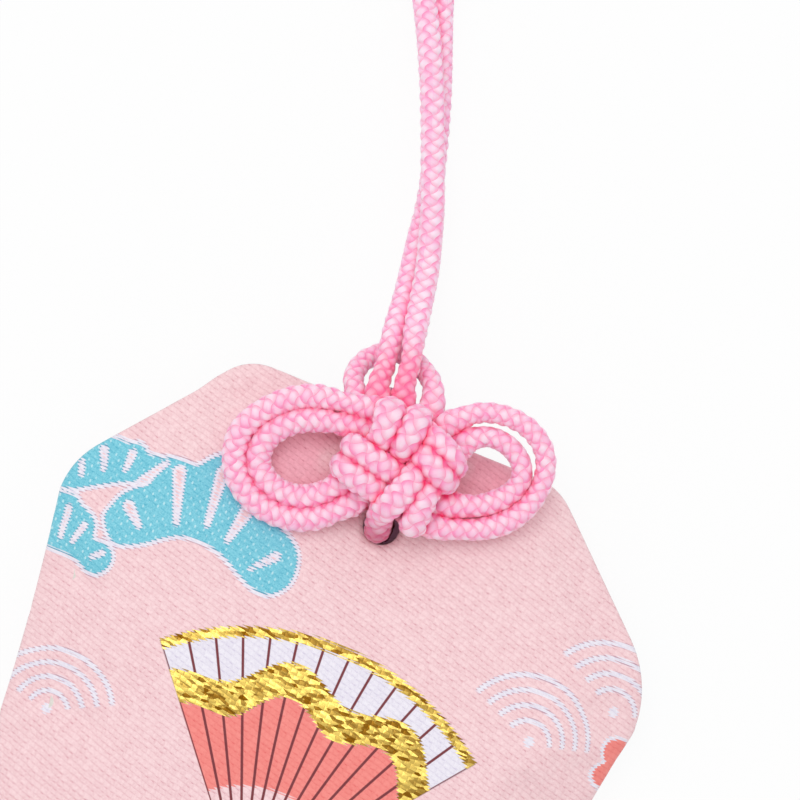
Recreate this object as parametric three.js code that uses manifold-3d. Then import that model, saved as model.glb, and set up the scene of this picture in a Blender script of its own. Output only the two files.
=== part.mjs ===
// A flat padded charm bag of brocade with a braided cord tied in a double bow knot at its top.
// The bag lies on its back: X is to the right, Y is up towards the cord, Z is out of the front.
// Sizes are in millimetres, and z = 0 is the surface that the bag lies on.
import * as THREE from "three";
import { mergeVertices } from "three/addons/utils/BufferGeometryUtils.js";
import Module from "manifold-3d";

const wasm = await Module();
wasm.setup();

// Bag outline.
const BAG_WIDTH = 54;
const TOP_Y = 40.5;
const SHOULDER_Y = 27.3;
const BOTTOM_Y = -40.5;
const TOP_WIDTH = 29.2;
const TOP_SKEW = -1.95;
const LEFT_PULL = 2.4;
const RIGHT_PULL = 3.6;
const BOTTOM_PULL = 1.2;
const TOP_CORNER = 1.8;
const LEFT_SHOULDER_CORNER = 2.8;
const RIGHT_SHOULDER_CORNER = 6;
const BOTTOM_CORNER = 5;
const OUTLINE_POINTS = 64;
const BAG_CENTRE = new THREE.Vector2(0, -2);

// Bag depth.
const WALL = 0.8;
const SEAM_Z = 3.4;
const SEAM_GAP = 0.3;
const FRONT_LIFT = 4.8;
const FRONT_LIFT_TOP = 3.0;
const BACK_DROP = 4.6;
const BACK_DROP_TOP = 0.9;
const THIN_FROM_Y = 12;
const THIN_TO_Y = 33;
const BACK_THIN_FROM_Y = 14;
const BACK_THIN_TO_Y = 29;
const DOME_POWER = 3;
const RINGS = [0.25, 0.45, 0.6, 0.71, 0.8, 0.87, 0.93, 0.975, 1];

// Hole for the cord, and the dent that the cord presses round it.
const HOLE = new THREE.Vector2(-0.4, 31.65);
const HOLE_RADIUS = 1.6;
const DENT_DEPTH = 0.9;
const DENT_RADIUS = 4.5;

// Layers inside the bag, from the back to the front.
const LAYER_GAP = 0.35;
const LAYER_CORNER = 5;
const LAYER_POINTS = 40;
const LINING_THICKNESS = 0.35;
const LINING_INSET = 4.5;
const LINING_TOP_Y = 27;
const BACK_LINING_INSET = 6;
const BACK_LINING_TOP_Y = 15;
const WRAPPER_WIDTH = 26;
const WRAPPER_HEIGHT = 46;
const WRAPPER_DEPTH = 1.4;
const WRAPPER_PAPER = 0.25;
const WRAPPER_Z = 1.75;
const WRAPPER_Y = -6;
const SLIP_SIDE_ROOM = 0.75;
const SLIP_END_ROOM = 2;
const SLIP_FACE_ROOM = 0.25;
const SLIP_WIDTH = WRAPPER_WIDTH - 2 * (WRAPPER_PAPER + SLIP_SIDE_ROOM);
const SLIP_HEIGHT = WRAPPER_HEIGHT - 2 * SLIP_END_ROOM;
const SLIP_THICKNESS = WRAPPER_DEPTH - 2 * (WRAPPER_PAPER + SLIP_FACE_ROOM);
const CARD_Z = 3.45;
const CARD_THICKNESS = 0.7;
const CARD_INSET = 6;
const CARD_TOP_Y = 25;
const PADDING_INSET = 7.5;
const PADDING_TOP_Y = 21;
const THREAD_RADIUS = 0.2;
const THREAD_INSET = 1.9;
const THREAD_WAVE = 0.2;
const STITCHES = 40;

// Cord. Its routes are in the knot's own frame: the hole is at x = 0, y = 0.
const CORD_RADIUS = 0.75;
const CORD_SIDES = 8;
const CORD_STEP = 0.8;
const LOOP_STEP = 2.4;
const KNOT_TURN = THREE.MathUtils.degToRad(21.5);

// Each knot strand runs from its outer end, over one pair of strands and under the next pair.
const KNOT_STRANDS = {
  knot_top_left_strand: [
    [0.62, 11, 8.95], [0.6, 10.75, 9.5], [0.5, 10.2, 10], [0.25, 9.2, 10.15], [-0.1, 8.3, 9.95],
    [-0.5, 7.35, 9.15], [-0.9, 6.7, 8.15], [-1.35, 5.95, 7.7], [-2.4, 4.85, 7.7], [-3.4, 3.95, 7.8],
  ],
  knot_top_right_strand: [
    [3.3, 10.2, 9.1], [3.22, 9.85, 9.6], [3, 9.2, 10.2], [2.55, 8.3, 10.35], [2, 7.4, 10.2],
    [1.62, 6.7, 9.3], [1.15, 5.8, 7.95], [0.5, 4.75, 7.5], [-0.85, 3.3, 7.5], [-2.2, 2.3, 7.65],
    [-3.4, 1.7, 7.8],
  ],
  knot_left_upper_strand: [
    [-3.35, 7.3, 8.5], [-3.2, 7.25, 9.3], [-2.8, 7, 9.9], [-1.4, 6.15, 10.05], [0.15, 5.1, 9.75],
    [1.3, 4.45, 9.1], [2.4, 3.75, 8.3], [3.95, 2.65, 7.7], [5.4, 2.1, 7.75], [7.4, 1.9, 7.7],
  ],
  knot_left_lower_strand: [
    [-4.3, 5.45, 8.4], [-4.15, 5.4, 9.2], [-3.7, 5.1, 9.8], [-2.5, 4.1, 9.9], [-1.1, 3.2, 9.5],
    [0.2, 2.5, 8.7], [1.4, 1.85, 8.05], [3.2, 0.75, 7.75], [5.2, 0.05, 7.8], [7.4, -0.1, 7.75],
  ],
  knot_bottom_left_strand: [
    [0.2, 0.85, 9.2], [0.55, 1.35, 9.95], [1, 1.95, 10.4], [1.75, 2.95, 10.55], [2.45, 3.9, 10.5],
    [2.85, 4.5, 10.1], [3.3, 5.15, 8.8], [3.8, 5.85, 7.65], [4.25, 6.55, 7.4], [4.95, 7.8, 7.4],
    [5.75, 8.8, 7.7], [7.4, 9.6, 7.8],
  ],
  knot_bottom_right_strand: [
    [2.75, -0.55, 9.4], [3, 0.1, 9.8], [3.4, 1, 10], [4.05, 2.5, 10], [4.6, 3.45, 9.35],
    [5.1, 4.35, 8.15], [5.6, 5.15, 7.7], [6.4, 6.4, 7.6], [7, 7.15, 7.75], [7.45, 7.47, 7.8],
  ],
  knot_right_lower_strand: [
    [6.45, 3.45, 9.05], [6.3, 3.7, 9.75], [5.75, 4.4, 10.3], [4.6, 5.75, 10.35], [4, 6.4, 10],
    [3.45, 6.85, 9.25], [2.92, 7.18, 8.4], [2.3, 7.45, 7.75], [0.2, 8.1, 7.6], [-1.5, 8.57, 7.7],
    [-3.45, 8.97, 7.8],
  ],
  knot_right_upper_strand: [
    [7.15, 5, 8.9], [7.05, 5.35, 9.5], [6.8, 6, 9.9], [5.9, 7.25, 9.95], [5, 8.05, 9.65],
    [4.1, 8.5, 8.75], [3.1, 8.95, 8], [0.7, 9.75, 7.85], [-1.2, 10.27, 7.8], [-3.45, 10.87, 7.8],
  ],
  knot_ear_loop: [
    [-1.8, 11, 6], [-2.1, 11.7, 5.6], [-2.38, 12.7, 4.9], [-2.38, 13.5, 4.2], [-1.95, 14.5, 3.3],
    [-1.1, 15.3, 2.6], [0, 15.75, 2.2], [1.2, 15.88, 2.1], [2.6, 15.3, 2.4], [3.75, 14, 3.4],
    [4.4, 13.1, 4.4], [4.66, 12.1, 5.3], [4.6, 11, 6], [4.45, 10.1, 6.3],
  ],
  hole_bight: [
    [0.03, 0.55, 8.45], [-0.15, 0.2, 7.5], [-0.27, -0.05, 6.3], [-0.2, -0.08, 5],
    [-0.05, 0.05, 3.9], [0.02, 0.4, 2.5], [0.1, 1.6, 1.45], [0.2, 5, 1.35], [0.3, 8.9, 1.35],
    [0.35, 10.7, 2.1], [0.35, 11.2, 3.5], [0.4, 10.6, 4.7], [0.45, 9.6, 5.45], [0.5, 8.6, 5.65],
  ],
  hanging_root_left: [
    [-0.2, 11.15, 6.55], [-0.08, 11.8, 6.4], [0.1, 12.5, 6.1], [0.36, 13.4, 5.55],
  ],
  hanging_root_right: [
    [1.95, 10.3, 6.35], [2, 11.3, 6.45], [2.1, 12.3, 6.4], [2.28, 13.4, 6.15],
  ],
};

const LEFT_BOW = {
  left_bow_outer_loop: [
    [-3.85, 10.97, 7.8], [-5.7, 11.27, 7.8], [-7.66, 11.05, 7.75], [-9.62, 10.25, 7.7],
    [-11.1, 9.25, 7.6], [-12.1, 8.05, 7.5], [-12.5, 6.5, 7.4], [-12.45, 5, 7.4],
    [-11.85, 3.55, 7.4], [-10.8, 2.35, 7.4], [-9.44, 1.45, 7.4], [-7.66, 0.85, 7.5],
    [-5.68, 0.9, 7.6], [-3.85, 1.5, 7.75],
  ],
  left_bow_inner_loop: [
    [-3.85, 9.07, 7.8], [-5.68, 9.3, 7.8], [-7.16, 9.17, 7.75], [-8.44, 8.7, 7.7], [-9.6, 7.9, 7.6],
    [-10.3, 6.8, 7.5], [-10.45, 5.5, 7.4], [-9.85, 4.2, 7.4], [-8.7, 3.2, 7.4], [-7.16, 2.7, 7.5],
    [-5.68, 2.78, 7.6], [-4.6, 3.2, 7.7], [-3.85, 3.62, 7.75],
  ],
};

const RIGHT_BOW = {
  right_bow_outer_loop: [
    [7.8, 9.75, 7.8], [9, 9.9, 7.8], [11, 9.5, 7.8], [12.75, 8.45, 7.8], [13.85, 6.9, 7.8],
    [14.1, 5.15, 7.7], [13.45, 3.1, 7.6], [12, 1.35, 7.6], [10, 0.25, 7.6], [7.8, -0.12, 7.7],
  ],
  right_bow_inner_loop: [
    [7.83, 7.65, 7.8], [9.35, 7.8, 7.8], [10.95, 7, 7.8], [11.95, 5.6, 7.8], [11.95, 4.1, 7.7],
    [10.88, 2.85, 7.6], [9.01, 2.05, 7.6], [7.8, 1.9, 7.7],
  ],
};

const HANGING_LOOP = [
  [0.44, 13.8, 5.35], [0.95, 16.3, 4.2], [1.72, 19.66, 2.4], [2.38, 22.32, 1.3],
  [3.2, 25, 1.0], [3.78, 27.0, 1.0], [4.4, 30.3, 1.0], [4.81, 34.16, 1.0],
  [5.06, 37.7, 1.0], [5.3, 42.1, 1.0], [5.5, 45.3, 1.0], [6.1, 52, 1.0],
  [7.2, 62, 1.0], [8.3, 72, 1.0], [8.7, 79, 1.0], [7.4, 85.2, 1.0],
  [4, 88, 1.0], [0.6, 85.2, 1.0], [-0.7, 79, 1.0], [0.3, 72, 1.0],
  [1.6, 62, 1.0], [2.9, 52, 1.2], [3.55, 45.3, 2.1], [3.85, 42.1, 2.6],
  [4.12, 37.7, 2.9], [4.34, 33.3, 2.95], [4.46, 30.7, 2.95], [4.5, 27.6, 2.9],
  [4.29, 25, 2.9], [3.95, 22.3, 3.0], [3.42, 19.66, 3.7], [2.85, 17, 4.9],
  [2.36, 13.8, 6.05],
];

const brocade = new THREE.MeshStandardMaterial({ color: 0xf3d5cf, roughness: 0.7 });
const lining = new THREE.MeshStandardMaterial({ color: 0xf4f1ea, roughness: 0.9 });
const paper = new THREE.MeshStandardMaterial({ color: 0xfbfaf4, roughness: 0.8 });
const card = new THREE.MeshStandardMaterial({ color: 0xb9a58c, roughness: 0.9 });
const wadding = new THREE.MeshStandardMaterial({ color: 0xffffff, roughness: 1 });
const thread = new THREE.MeshStandardMaterial({ color: 0xe9b9b9, roughness: 0.8 });
const wood = new THREE.MeshStandardMaterial({ color: 0xe3cfa5, roughness: 0.7 });
const braid = new THREE.MeshStandardMaterial({ color: 0xf5a9c6, roughness: 0.45 });

const smooth = THREE.MathUtils.smoothstep;
const mix = THREE.MathUtils.lerp;

// Closed outline through corners, each rounded, with edges drawn in by their pulls, as points.
function roundedOutline(corners, rounds, pulls, count) {
  const shape = new THREE.Shape();
  const total = corners.length;
  const towards = (from, to, length) => from.clone().add(to.clone().sub(from).setLength(length));
  corners.forEach((corner, i) => {
    const next = (i + 1) % total;
    const leave = towards(corner, corners[next], rounds[i]);
    const arrive = towards(corners[next], corner, rounds[next]);
    const after = towards(corners[next], corners[(i + 2) % total], rounds[next]);
    if (i === 0) {
      shape.moveTo(leave.x, leave.y);
    }
    const along = arrive.clone().sub(leave).normalize();
    const bend = leave.clone().add(arrive).multiplyScalar(0.5);
    bend.add(new THREE.Vector2(-along.y, along.x).multiplyScalar(2 * pulls[i]));
    shape.quadraticCurveTo(bend.x, bend.y, arrive.x, arrive.y);
    shape.quadraticCurveTo(corners[next].x, corners[next].y, after.x, after.y);
  });
  return shape.getSpacedPoints(count).slice(0, count);
}

// The bag's own six-cornered outline, moved in by a distance.
function bagOutline(distance, count = OUTLINE_POINTS) {
  const side = BAG_WIDTH / 2;
  const topRight = TOP_SKEW + TOP_WIDTH / 2;
  const topLeft = TOP_SKEW - TOP_WIDTH / 2;
  const corners = [
    [-side, BOTTOM_Y], [side, BOTTOM_Y], [side, SHOULDER_Y],
    [topRight, TOP_Y], [topLeft, TOP_Y], [-side, SHOULDER_Y],
  ].map(([x, y]) => new THREE.Vector2(x, y));
  const moved = corners.map((corner, i) => {
    const before = corner.clone().sub(corners[(i + 5) % 6]).normalize();
    const after = corners[(i + 1) % 6].clone().sub(corner).normalize();
    const inward = new THREE.Vector2(-before.y - after.y, before.x + after.x);
    return corner.clone().add(inward.multiplyScalar(distance / (1 + before.dot(after))));
  });
  const rounds = [
    BOTTOM_CORNER, BOTTOM_CORNER, RIGHT_SHOULDER_CORNER, TOP_CORNER, TOP_CORNER, LEFT_SHOULDER_CORNER,
  ];
  return roundedOutline(moved, rounds, [BOTTOM_PULL, RIGHT_PULL, 0, 0, 0, LEFT_PULL], count);
}

// Four-cornered outline of a layer inside the bag, below the hole.
function layerOutline(inset, topY) {
  const side = BAG_WIDTH / 2 - inset;
  const corners = [
    [-side, BOTTOM_Y + inset], [side, BOTTOM_Y + inset], [side, topY], [-side, topY],
  ].map(([x, y]) => new THREE.Vector2(x, y));
  return roundedOutline(corners, Array(4).fill(LAYER_CORNER), [BOTTOM_PULL, RIGHT_PULL, 0, LEFT_PULL], LAYER_POINTS);
}

const edge = bagOutline(0);

// Share of the way from the bag's centre to its edge, 0 to 1.
function edgeShare(x, y) {
  const dx = x - BAG_CENTRE.x;
  const dy = y - BAG_CENTRE.y;
  for (let i = 0; i < edge.length; i += 1) {
    const a = edge[i].clone().sub(BAG_CENTRE);
    const b = edge[(i + 1) % edge.length].clone().sub(BAG_CENTRE);
    const turnA = a.x * dy - a.y * dx;
    const turnB = b.x * dy - b.y * dx;
    if (turnA >= 0 && turnB <= 0 && turnA !== turnB) {
      const t = turnA / (turnA - turnB);
      const reach = Math.hypot(mix(a.x, b.x, t), mix(a.y, b.y, t));
      return Math.min(1, Math.hypot(dx, dy) / reach);
    }
  }
  return 0;
}

const dome = (share) => Math.sqrt(Math.max(0, 1 - share ** DOME_POWER));
const dent = (x, y) => DENT_DEPTH * Math.exp(-(((x - HOLE.x) ** 2 + (y - HOLE.y) ** 2) / DENT_RADIUS ** 2));

// Rise of the front face over the seam, and fall of the back face below it.
function frontRise(x, y, share = edgeShare(x, y)) {
  const lift = mix(FRONT_LIFT, FRONT_LIFT_TOP, smooth(y, THIN_FROM_Y, THIN_TO_Y));
  return (lift - dent(x, y)) * dome(share);
}
function backFall(x, y, share = edgeShare(x, y)) {
  const drop = mix(BACK_DROP, BACK_DROP_TOP, smooth(y, BACK_THIN_FROM_Y, BACK_THIN_TO_Y));
  return Math.min(drop * dome(share), SEAM_Z - SEAM_GAP / 2);
}

// Closed solid between an upper and a lower set of rings round a common centre.
function ringSolid(upper, lower, upperCentre, lowerCentre) {
  const count = upper[0].length;
  const rows = [...upper, ...lower.slice().reverse()];
  const positions = [...upperCentre, ...rows.flat(2), ...lowerCentre];
  const last = rows.length * count + 1;
  const at = (row, i) => 1 + row * count + (i % count);
  const index = [];
  for (let i = 0; i < count; i += 1) {
    index.push(0, at(0, i), at(0, i + 1));
    for (let row = 0; row + 1 < rows.length; row += 1) {
      index.push(at(row, i), at(row + 1, i), at(row + 1, i + 1));
      index.push(at(row, i), at(row + 1, i + 1), at(row, i + 1));
    }
    index.push(last, at(rows.length - 1, i + 1), at(rows.length - 1, i));
  }
  const geometry = new THREE.BufferGeometry();
  geometry.setAttribute("position", new THREE.Float32BufferAttribute(positions, 3));
  geometry.setIndex(index);
  return geometry;
}

const ringPoint = (point, share) => BAG_CENTRE.clone().lerp(point, share);

// One curved panel of the bag: side 1 is the front and side -1 the back.
function panel(side) {
  const inside = bagOutline(WALL);
  const rise = side > 0 ? frontRise : backFall;
  const rim = SEAM_Z + (side * SEAM_GAP) / 2;
  const outer = RINGS.map((share) => edge.map((point) => {
    const p = ringPoint(point, share);
    return [p.x, p.y, rim + side * rise(p.x, p.y, share)];
  }));
  const inner = RINGS.map((share) => inside.map((point) => {
    const p = ringPoint(point, share);
    return [p.x, p.y, rim + side * Math.max(0, rise(p.x, p.y, share) - WALL)];
  }));
  const centre = rise(BAG_CENTRE.x, BAG_CENTRE.y, 0);
  const outerCentre = [BAG_CENTRE.x, BAG_CENTRE.y, rim + side * centre];
  const innerCentre = [BAG_CENTRE.x, BAG_CENTRE.y, rim + side * (centre - WALL)];
  return side > 0
    ? ringSolid(outer, inner, outerCentre, innerCentre)
    : ringSolid(inner, outer, innerCentre, outerCentre);
}

// A soft layer inside the bag between two heights that are functions of x and y.
function layer(outline, topOf, bottomOf) {
  const shares = [0.3, 0.52, 0.7, 0.86, 1];
  const rows = (heightOf) => shares.map((share) => outline.map((point) => {
    const p = ringPoint(point, share);
    return [p.x, p.y, heightOf(p.x, p.y)];
  }));
  const { x, y } = BAG_CENTRE;
  return ringSolid(rows(topOf), rows(bottomOf), [x, y, topOf(x, y)], [x, y, bottomOf(x, y)]);
}

const frontInside = (x, y) => SEAM_Z + SEAM_GAP / 2 + frontRise(x, y) - WALL;
const backInside = (x, y) => SEAM_Z - SEAM_GAP / 2 - backFall(x, y) + WALL;

function solidOf(geometry) {
  const bare = new THREE.BufferGeometry();
  bare.setAttribute("position", geometry.getAttribute("position").clone());
  if (geometry.index) {
    bare.setIndex(geometry.index.clone());
  }
  const merged = mergeVertices(bare, 1e-5);
  return new wasm.Manifold(new wasm.Mesh({
    numProp: 3,
    vertProperties: new Float32Array(merged.getAttribute("position").array),
    triVerts: new Uint32Array(merged.index.array),
  }));
}

function geometryOf(solid) {
  const mesh = solid.getMesh();
  const geometry = new THREE.BufferGeometry();
  geometry.setAttribute("position", new THREE.BufferAttribute(new Float32Array(mesh.vertProperties), 3));
  geometry.setIndex([...mesh.triVerts]);
  return geometry;
}

// The panel with the cord's hole cut through it.
function withHole(geometry) {
  const pin = new THREE.CylinderGeometry(HOLE_RADIUS, HOLE_RADIUS, 30, 20);
  pin.rotateX(Math.PI / 2);
  pin.translate(HOLE.x, HOLE.y, 0);
  return geometryOf(solidOf(geometry).subtract(solidOf(pin)));
}

function flatPlate(outline, thickness, z) {
  const geometry = new THREE.ExtrudeGeometry(new THREE.Shape(outline), { depth: thickness, bevelEnabled: false });
  geometry.translate(0, 0, z);
  return geometry;
}

function rectangle(width, height) {
  return [
    new THREE.Vector2(-width / 2, -height / 2), new THREE.Vector2(width / 2, -height / 2),
    new THREE.Vector2(width / 2, height / 2), new THREE.Vector2(-width / 2, height / 2),
  ];
}

// Folded paper sleeve, open at its two ends, that holds the wooden slip.
function paperSleeve() {
  const section = new THREE.Shape(rectangle(WRAPPER_WIDTH, WRAPPER_DEPTH));
  const bore = rectangle(WRAPPER_WIDTH - 2 * WRAPPER_PAPER, WRAPPER_DEPTH - 2 * WRAPPER_PAPER);
  section.holes.push(new THREE.Path(bore.reverse()));
  const geometry = new THREE.ExtrudeGeometry(section, { depth: WRAPPER_HEIGHT, bevelEnabled: false });
  geometry.rotateX(Math.PI / 2);
  geometry.translate(0, WRAPPER_Y + WRAPPER_HEIGHT / 2, WRAPPER_Z + WRAPPER_DEPTH / 2);
  return geometry;
}

const curveOf = (route) => new THREE.CatmullRomCurve3(route.map((p) => new THREE.Vector3(...p)), false, "centripetal");

function tube(curve, radius, sides, step) {
  const ring = [];
  for (let i = 0; i < sides; i += 1) {
    const angle = (2 * Math.PI * i) / sides;
    ring.push(new THREE.Vector2(radius * Math.cos(angle), radius * Math.sin(angle)));
  }
  return new THREE.ExtrudeGeometry(new THREE.Shape(ring), {
    steps: Math.ceil(curve.getLength() / step),
    bevelEnabled: false,
    extrudePath: curve,
  });
}

// Sewing thread that waves through the seam just inside the rim, from shoulder to shoulder.
function seamThread() {
  const line = bagOutline(THREAD_INSET, 4 * STITCHES).filter((p) => p.y < SHOULDER_Y - 3);
  const start = line.findIndex((p, i) => i > 0 && p.distanceTo(line[i - 1]) > 10);
  const ordered = start > 0 ? [...line.slice(start), ...line.slice(0, start)] : line;
  const route = ordered.filter((p, i) => i % 2 === 0).map((p, i) => [
    p.x, p.y, SEAM_Z + (i % 2 === 0 ? THREAD_WAVE : -THREAD_WAVE),
  ]);
  return tube(curveOf(route), THREAD_RADIUS, 5, 2);
}

const part = new THREE.Group();
const knot = new THREE.Group();
knot.position.set(HOLE.x, HOLE.y, 0);
knot.rotation.z = KNOT_TURN;
part.add(knot);

function addPiece(parent, name, geometry, material) {
  const mesh = new THREE.Mesh(geometry, material);
  mesh.name = name;
  parent.add(mesh);
}

addPiece(part, "front_panel", withHole(panel(1)), brocade);
addPiece(part, "back_panel", withHole(panel(-1)), brocade);
addPiece(part, "front_lining", layer(
  layerOutline(LINING_INSET, LINING_TOP_Y),
  (x, y) => frontInside(x, y) - LAYER_GAP,
  (x, y) => frontInside(x, y) - LAYER_GAP - LINING_THICKNESS,
), lining);
addPiece(part, "back_lining", layer(
  layerOutline(BACK_LINING_INSET, BACK_LINING_TOP_Y),
  (x, y) => backInside(x, y) + LAYER_GAP + LINING_THICKNESS,
  (x, y) => backInside(x, y) + LAYER_GAP,
), lining);
addPiece(part, "padding", layer(
  layerOutline(PADDING_INSET, PADDING_TOP_Y),
  (x, y) => frontInside(x, y) - 2 * LAYER_GAP - LINING_THICKNESS,
  () => CARD_Z + CARD_THICKNESS + LAYER_GAP,
), wadding);
addPiece(part, "stiffener_card", flatPlate(layerOutline(CARD_INSET, CARD_TOP_Y), CARD_THICKNESS, CARD_Z), card);
addPiece(part, "slip_wrapper", paperSleeve(), paper);
const slip = flatPlate(rectangle(SLIP_WIDTH, SLIP_HEIGHT), SLIP_THICKNESS, 0);
slip.translate(0, WRAPPER_Y, WRAPPER_Z + (WRAPPER_DEPTH - SLIP_THICKNESS) / 2);
addPiece(part, "talisman_slip", slip, wood);
addPiece(part, "seam_thread", seamThread(), thread);

const curves = {};
for (const [name, route] of Object.entries({ ...KNOT_STRANDS, ...LEFT_BOW, ...RIGHT_BOW })) {
  curves[name] = curveOf(route);
  addPiece(knot, name, tube(curves[name], CORD_RADIUS, CORD_SIDES, CORD_STEP), braid);
}
curves.hanging_loop = curveOf(HANGING_LOOP);
addPiece(knot, "hanging_loop", tube(curves.hanging_loop, CORD_RADIUS, CORD_SIDES, LOOP_STEP), braid);

// Least gap between any two strands that do not continue each other, and of the hanging loop
// to itself, measured on points.
const spaced = Object.entries(curves).map(([name, curve]) => ({
  name,
  points: curve.getSpacedPoints(Math.ceil(curve.getLength() / 0.2)),
}));
const endsOf = (strand) => [strand.points[0], strand.points[strand.points.length - 1]];
const continues = (a, b) => endsOf(a).some((p) => endsOf(b).some((q) => p.distanceTo(q) < 1));
let least = [Infinity, "", ""];
spaced.forEach((a, i) => spaced.slice(i + 1).filter((b) => !continues(a, b)).forEach((b) => {
  a.points.forEach((p) => b.points.forEach((q) => {
    const gap = p.distanceTo(q) - 2 * CORD_RADIUS;
    if (gap < least[0]) {
      least = [gap, a.name, b.name];
    }
  }));
}));
const loop = spaced[spaced.length - 1].points;
let selfGap = Infinity;
loop.forEach((p, i) => loop.slice(i + 20).forEach((q) => {
  selfGap = Math.min(selfGap, p.distanceTo(q) - 2 * CORD_RADIUS);
}));
console.log(`least gap between strands ${least[0].toFixed(2)} mm, ${least[1]} to ${least[2]}`);
console.log(`least gap of hanging_loop to itself ${selfGap.toFixed(2)} mm`);

export default part;
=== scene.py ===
# %% [markdown]
# # A brocade charm bag with a braided bow
# The real object is a flat padded bag of woven brocade, about 54 mm wide and 81 mm tall. A thin
# braided cord goes through a hole near its top and is tied in a double bow in front of it.
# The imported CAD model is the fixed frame: it says where each piece is and how it moves. This
# script makes the finer pieces around it. Sizes are in millimetres until a mesh is made.

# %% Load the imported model
import math

import bpy
import numpy as np
from mathutils.kdtree import KDTree
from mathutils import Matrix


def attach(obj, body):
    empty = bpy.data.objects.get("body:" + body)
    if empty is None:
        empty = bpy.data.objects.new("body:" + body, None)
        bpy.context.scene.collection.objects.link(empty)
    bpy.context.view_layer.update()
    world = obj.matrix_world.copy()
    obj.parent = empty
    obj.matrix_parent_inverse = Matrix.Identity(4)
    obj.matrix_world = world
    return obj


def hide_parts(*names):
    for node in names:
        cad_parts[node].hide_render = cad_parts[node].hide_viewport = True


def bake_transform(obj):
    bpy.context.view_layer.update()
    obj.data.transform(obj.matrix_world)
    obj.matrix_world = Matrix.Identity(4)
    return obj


MM = 0.001
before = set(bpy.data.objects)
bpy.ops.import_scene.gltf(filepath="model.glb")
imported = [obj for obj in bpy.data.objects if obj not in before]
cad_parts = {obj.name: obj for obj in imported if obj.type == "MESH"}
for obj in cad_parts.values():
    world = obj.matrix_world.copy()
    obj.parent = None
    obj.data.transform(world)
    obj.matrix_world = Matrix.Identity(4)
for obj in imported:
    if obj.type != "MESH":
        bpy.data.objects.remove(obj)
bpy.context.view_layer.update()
scene = bpy.context.scene
scene.view_settings.view_transform = "Standard"

# %% [markdown]
# ## Camera
# The photograph looks straight down on a bag that lies on a table. The knot is upright in the
# picture, and the bag leans 21.5 degrees from it, so the camera turns by that angle about Z.
# A long lens from far away keeps the picture as flat as a product photograph.

# %% Camera
KNOT_TURN = math.radians(21.5)
VIEW_CENTRE = (-2.9, 42.46)
VIEW_WIDTH = 68.67
VIEW_DISTANCE = 450
SHARP_HEIGHT = 6
SENSOR_WIDTH = 36

camera_data = bpy.data.cameras.new("camera")
camera_data.sensor_width = SENSOR_WIDTH
camera_data.lens = SENSOR_WIDTH * VIEW_DISTANCE / VIEW_WIDTH
camera = bpy.data.objects.new("camera", camera_data)
camera.location = (VIEW_CENTRE[0] * MM, VIEW_CENTRE[1] * MM, (SHARP_HEIGHT + VIEW_DISTANCE) * MM)
camera.rotation_euler = (0, 0, KNOT_TURN)
scene.collection.objects.link(camera)
scene.camera = camera
print("lens:", round(camera_data.lens, 1), "mm")

# %% [markdown]
# ## Where the cord runs
# One cord makes the whole knot. The routes follow the CAD routes to within a millimetre, in the
# knot's own frame: the hole is at x = 0, y = 0. In the CAD model the knot is cut into short
# strands so that the bows can move, and here the strands are joined again into the long runs
# that the eye follows.

# %% Routes of the strands in the knot
HOLE = np.array([-0.4, 31.65])
TOP_LEFT = [
    (0.62, 11, 8.95), (0.6, 10.75, 9.5), (0.5, 10.2, 10), (0.25, 9.2, 10.15), (-0.1, 8.3, 9.95),
    (-0.5, 7.35, 9.15), (-0.9, 6.7, 8.15), (-1.35, 5.95, 7.7), (-2.4, 4.85, 7.7), (-3.4, 3.95, 7.8),
]
TOP_RIGHT = [
    (3.3, 10.2, 9.1), (3.22, 9.85, 9.6), (3, 9.2, 10.2), (2.55, 8.3, 10.35), (2, 7.4, 10.2),
    (1.62, 6.7, 9.3), (1.15, 5.8, 7.95), (0.5, 4.75, 7.5), (-0.85, 3.3, 7.5), (-2.2, 2.3, 7.65),
    (-3.4, 1.7, 7.8),
]
LEFT_UPPER = [
    (-3.35, 7.3, 8.5), (-3.2, 7.25, 9.3), (-2.8, 7, 9.9), (-1.4, 6.15, 10.05), (0.15, 5.1, 9.75),
    (1.3, 4.45, 9.1), (2.4, 3.75, 8.3), (3.95, 2.65, 7.7), (5.4, 2.1, 7.75), (7.4, 1.9, 7.7),
]
LEFT_LOWER = [
    (-4.3, 5.45, 8.4), (-4.15, 5.4, 9.2), (-3.7, 5.1, 9.8), (-2.5, 4.1, 9.9), (-1.1, 3.2, 9.5),
    (0.2, 2.5, 8.7), (1.4, 1.85, 8.05), (3.2, 0.75, 7.75), (5.2, 0.05, 7.8), (7.4, -0.1, 7.75),
]
BOTTOM_LEFT = [
    (0.05, 1.35, 9.1), (0.4, 1.7, 9.9), (0.95, 2.2, 10.4), (1.75, 3.05, 10.55), (2.45, 3.9, 10.5),
    (2.85, 4.5, 10.1), (3.3, 5.15, 8.8), (3.8, 5.85, 7.65), (4.25, 6.55, 7.4), (4.95, 7.8, 7.4),
    (5.75, 8.8, 7.7), (7.4, 9.6, 7.8),
]
BOTTOM_RIGHT = [
    (2.75, -0.55, 9.4), (3, 0.1, 9.8), (3.4, 1, 10), (4.05, 2.5, 10), (4.6, 3.45, 9.35),
    (5.1, 4.35, 8.15), (5.6, 5.15, 7.7), (6.4, 6.4, 7.6), (7, 7.15, 7.75), (7.45, 7.47, 7.8),
]
RIGHT_LOWER = [
    (6.45, 3.45, 9.05), (6.3, 3.7, 9.75), (5.75, 4.4, 10.3), (4.6, 5.75, 10.35), (4, 6.4, 10),
    (3.45, 6.85, 9.25), (2.92, 7.18, 8.4), (2.3, 7.45, 7.75), (0.2, 8.1, 7.6), (-1.5, 8.57, 7.7),
    (-3.45, 8.97, 7.8),
]
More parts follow.
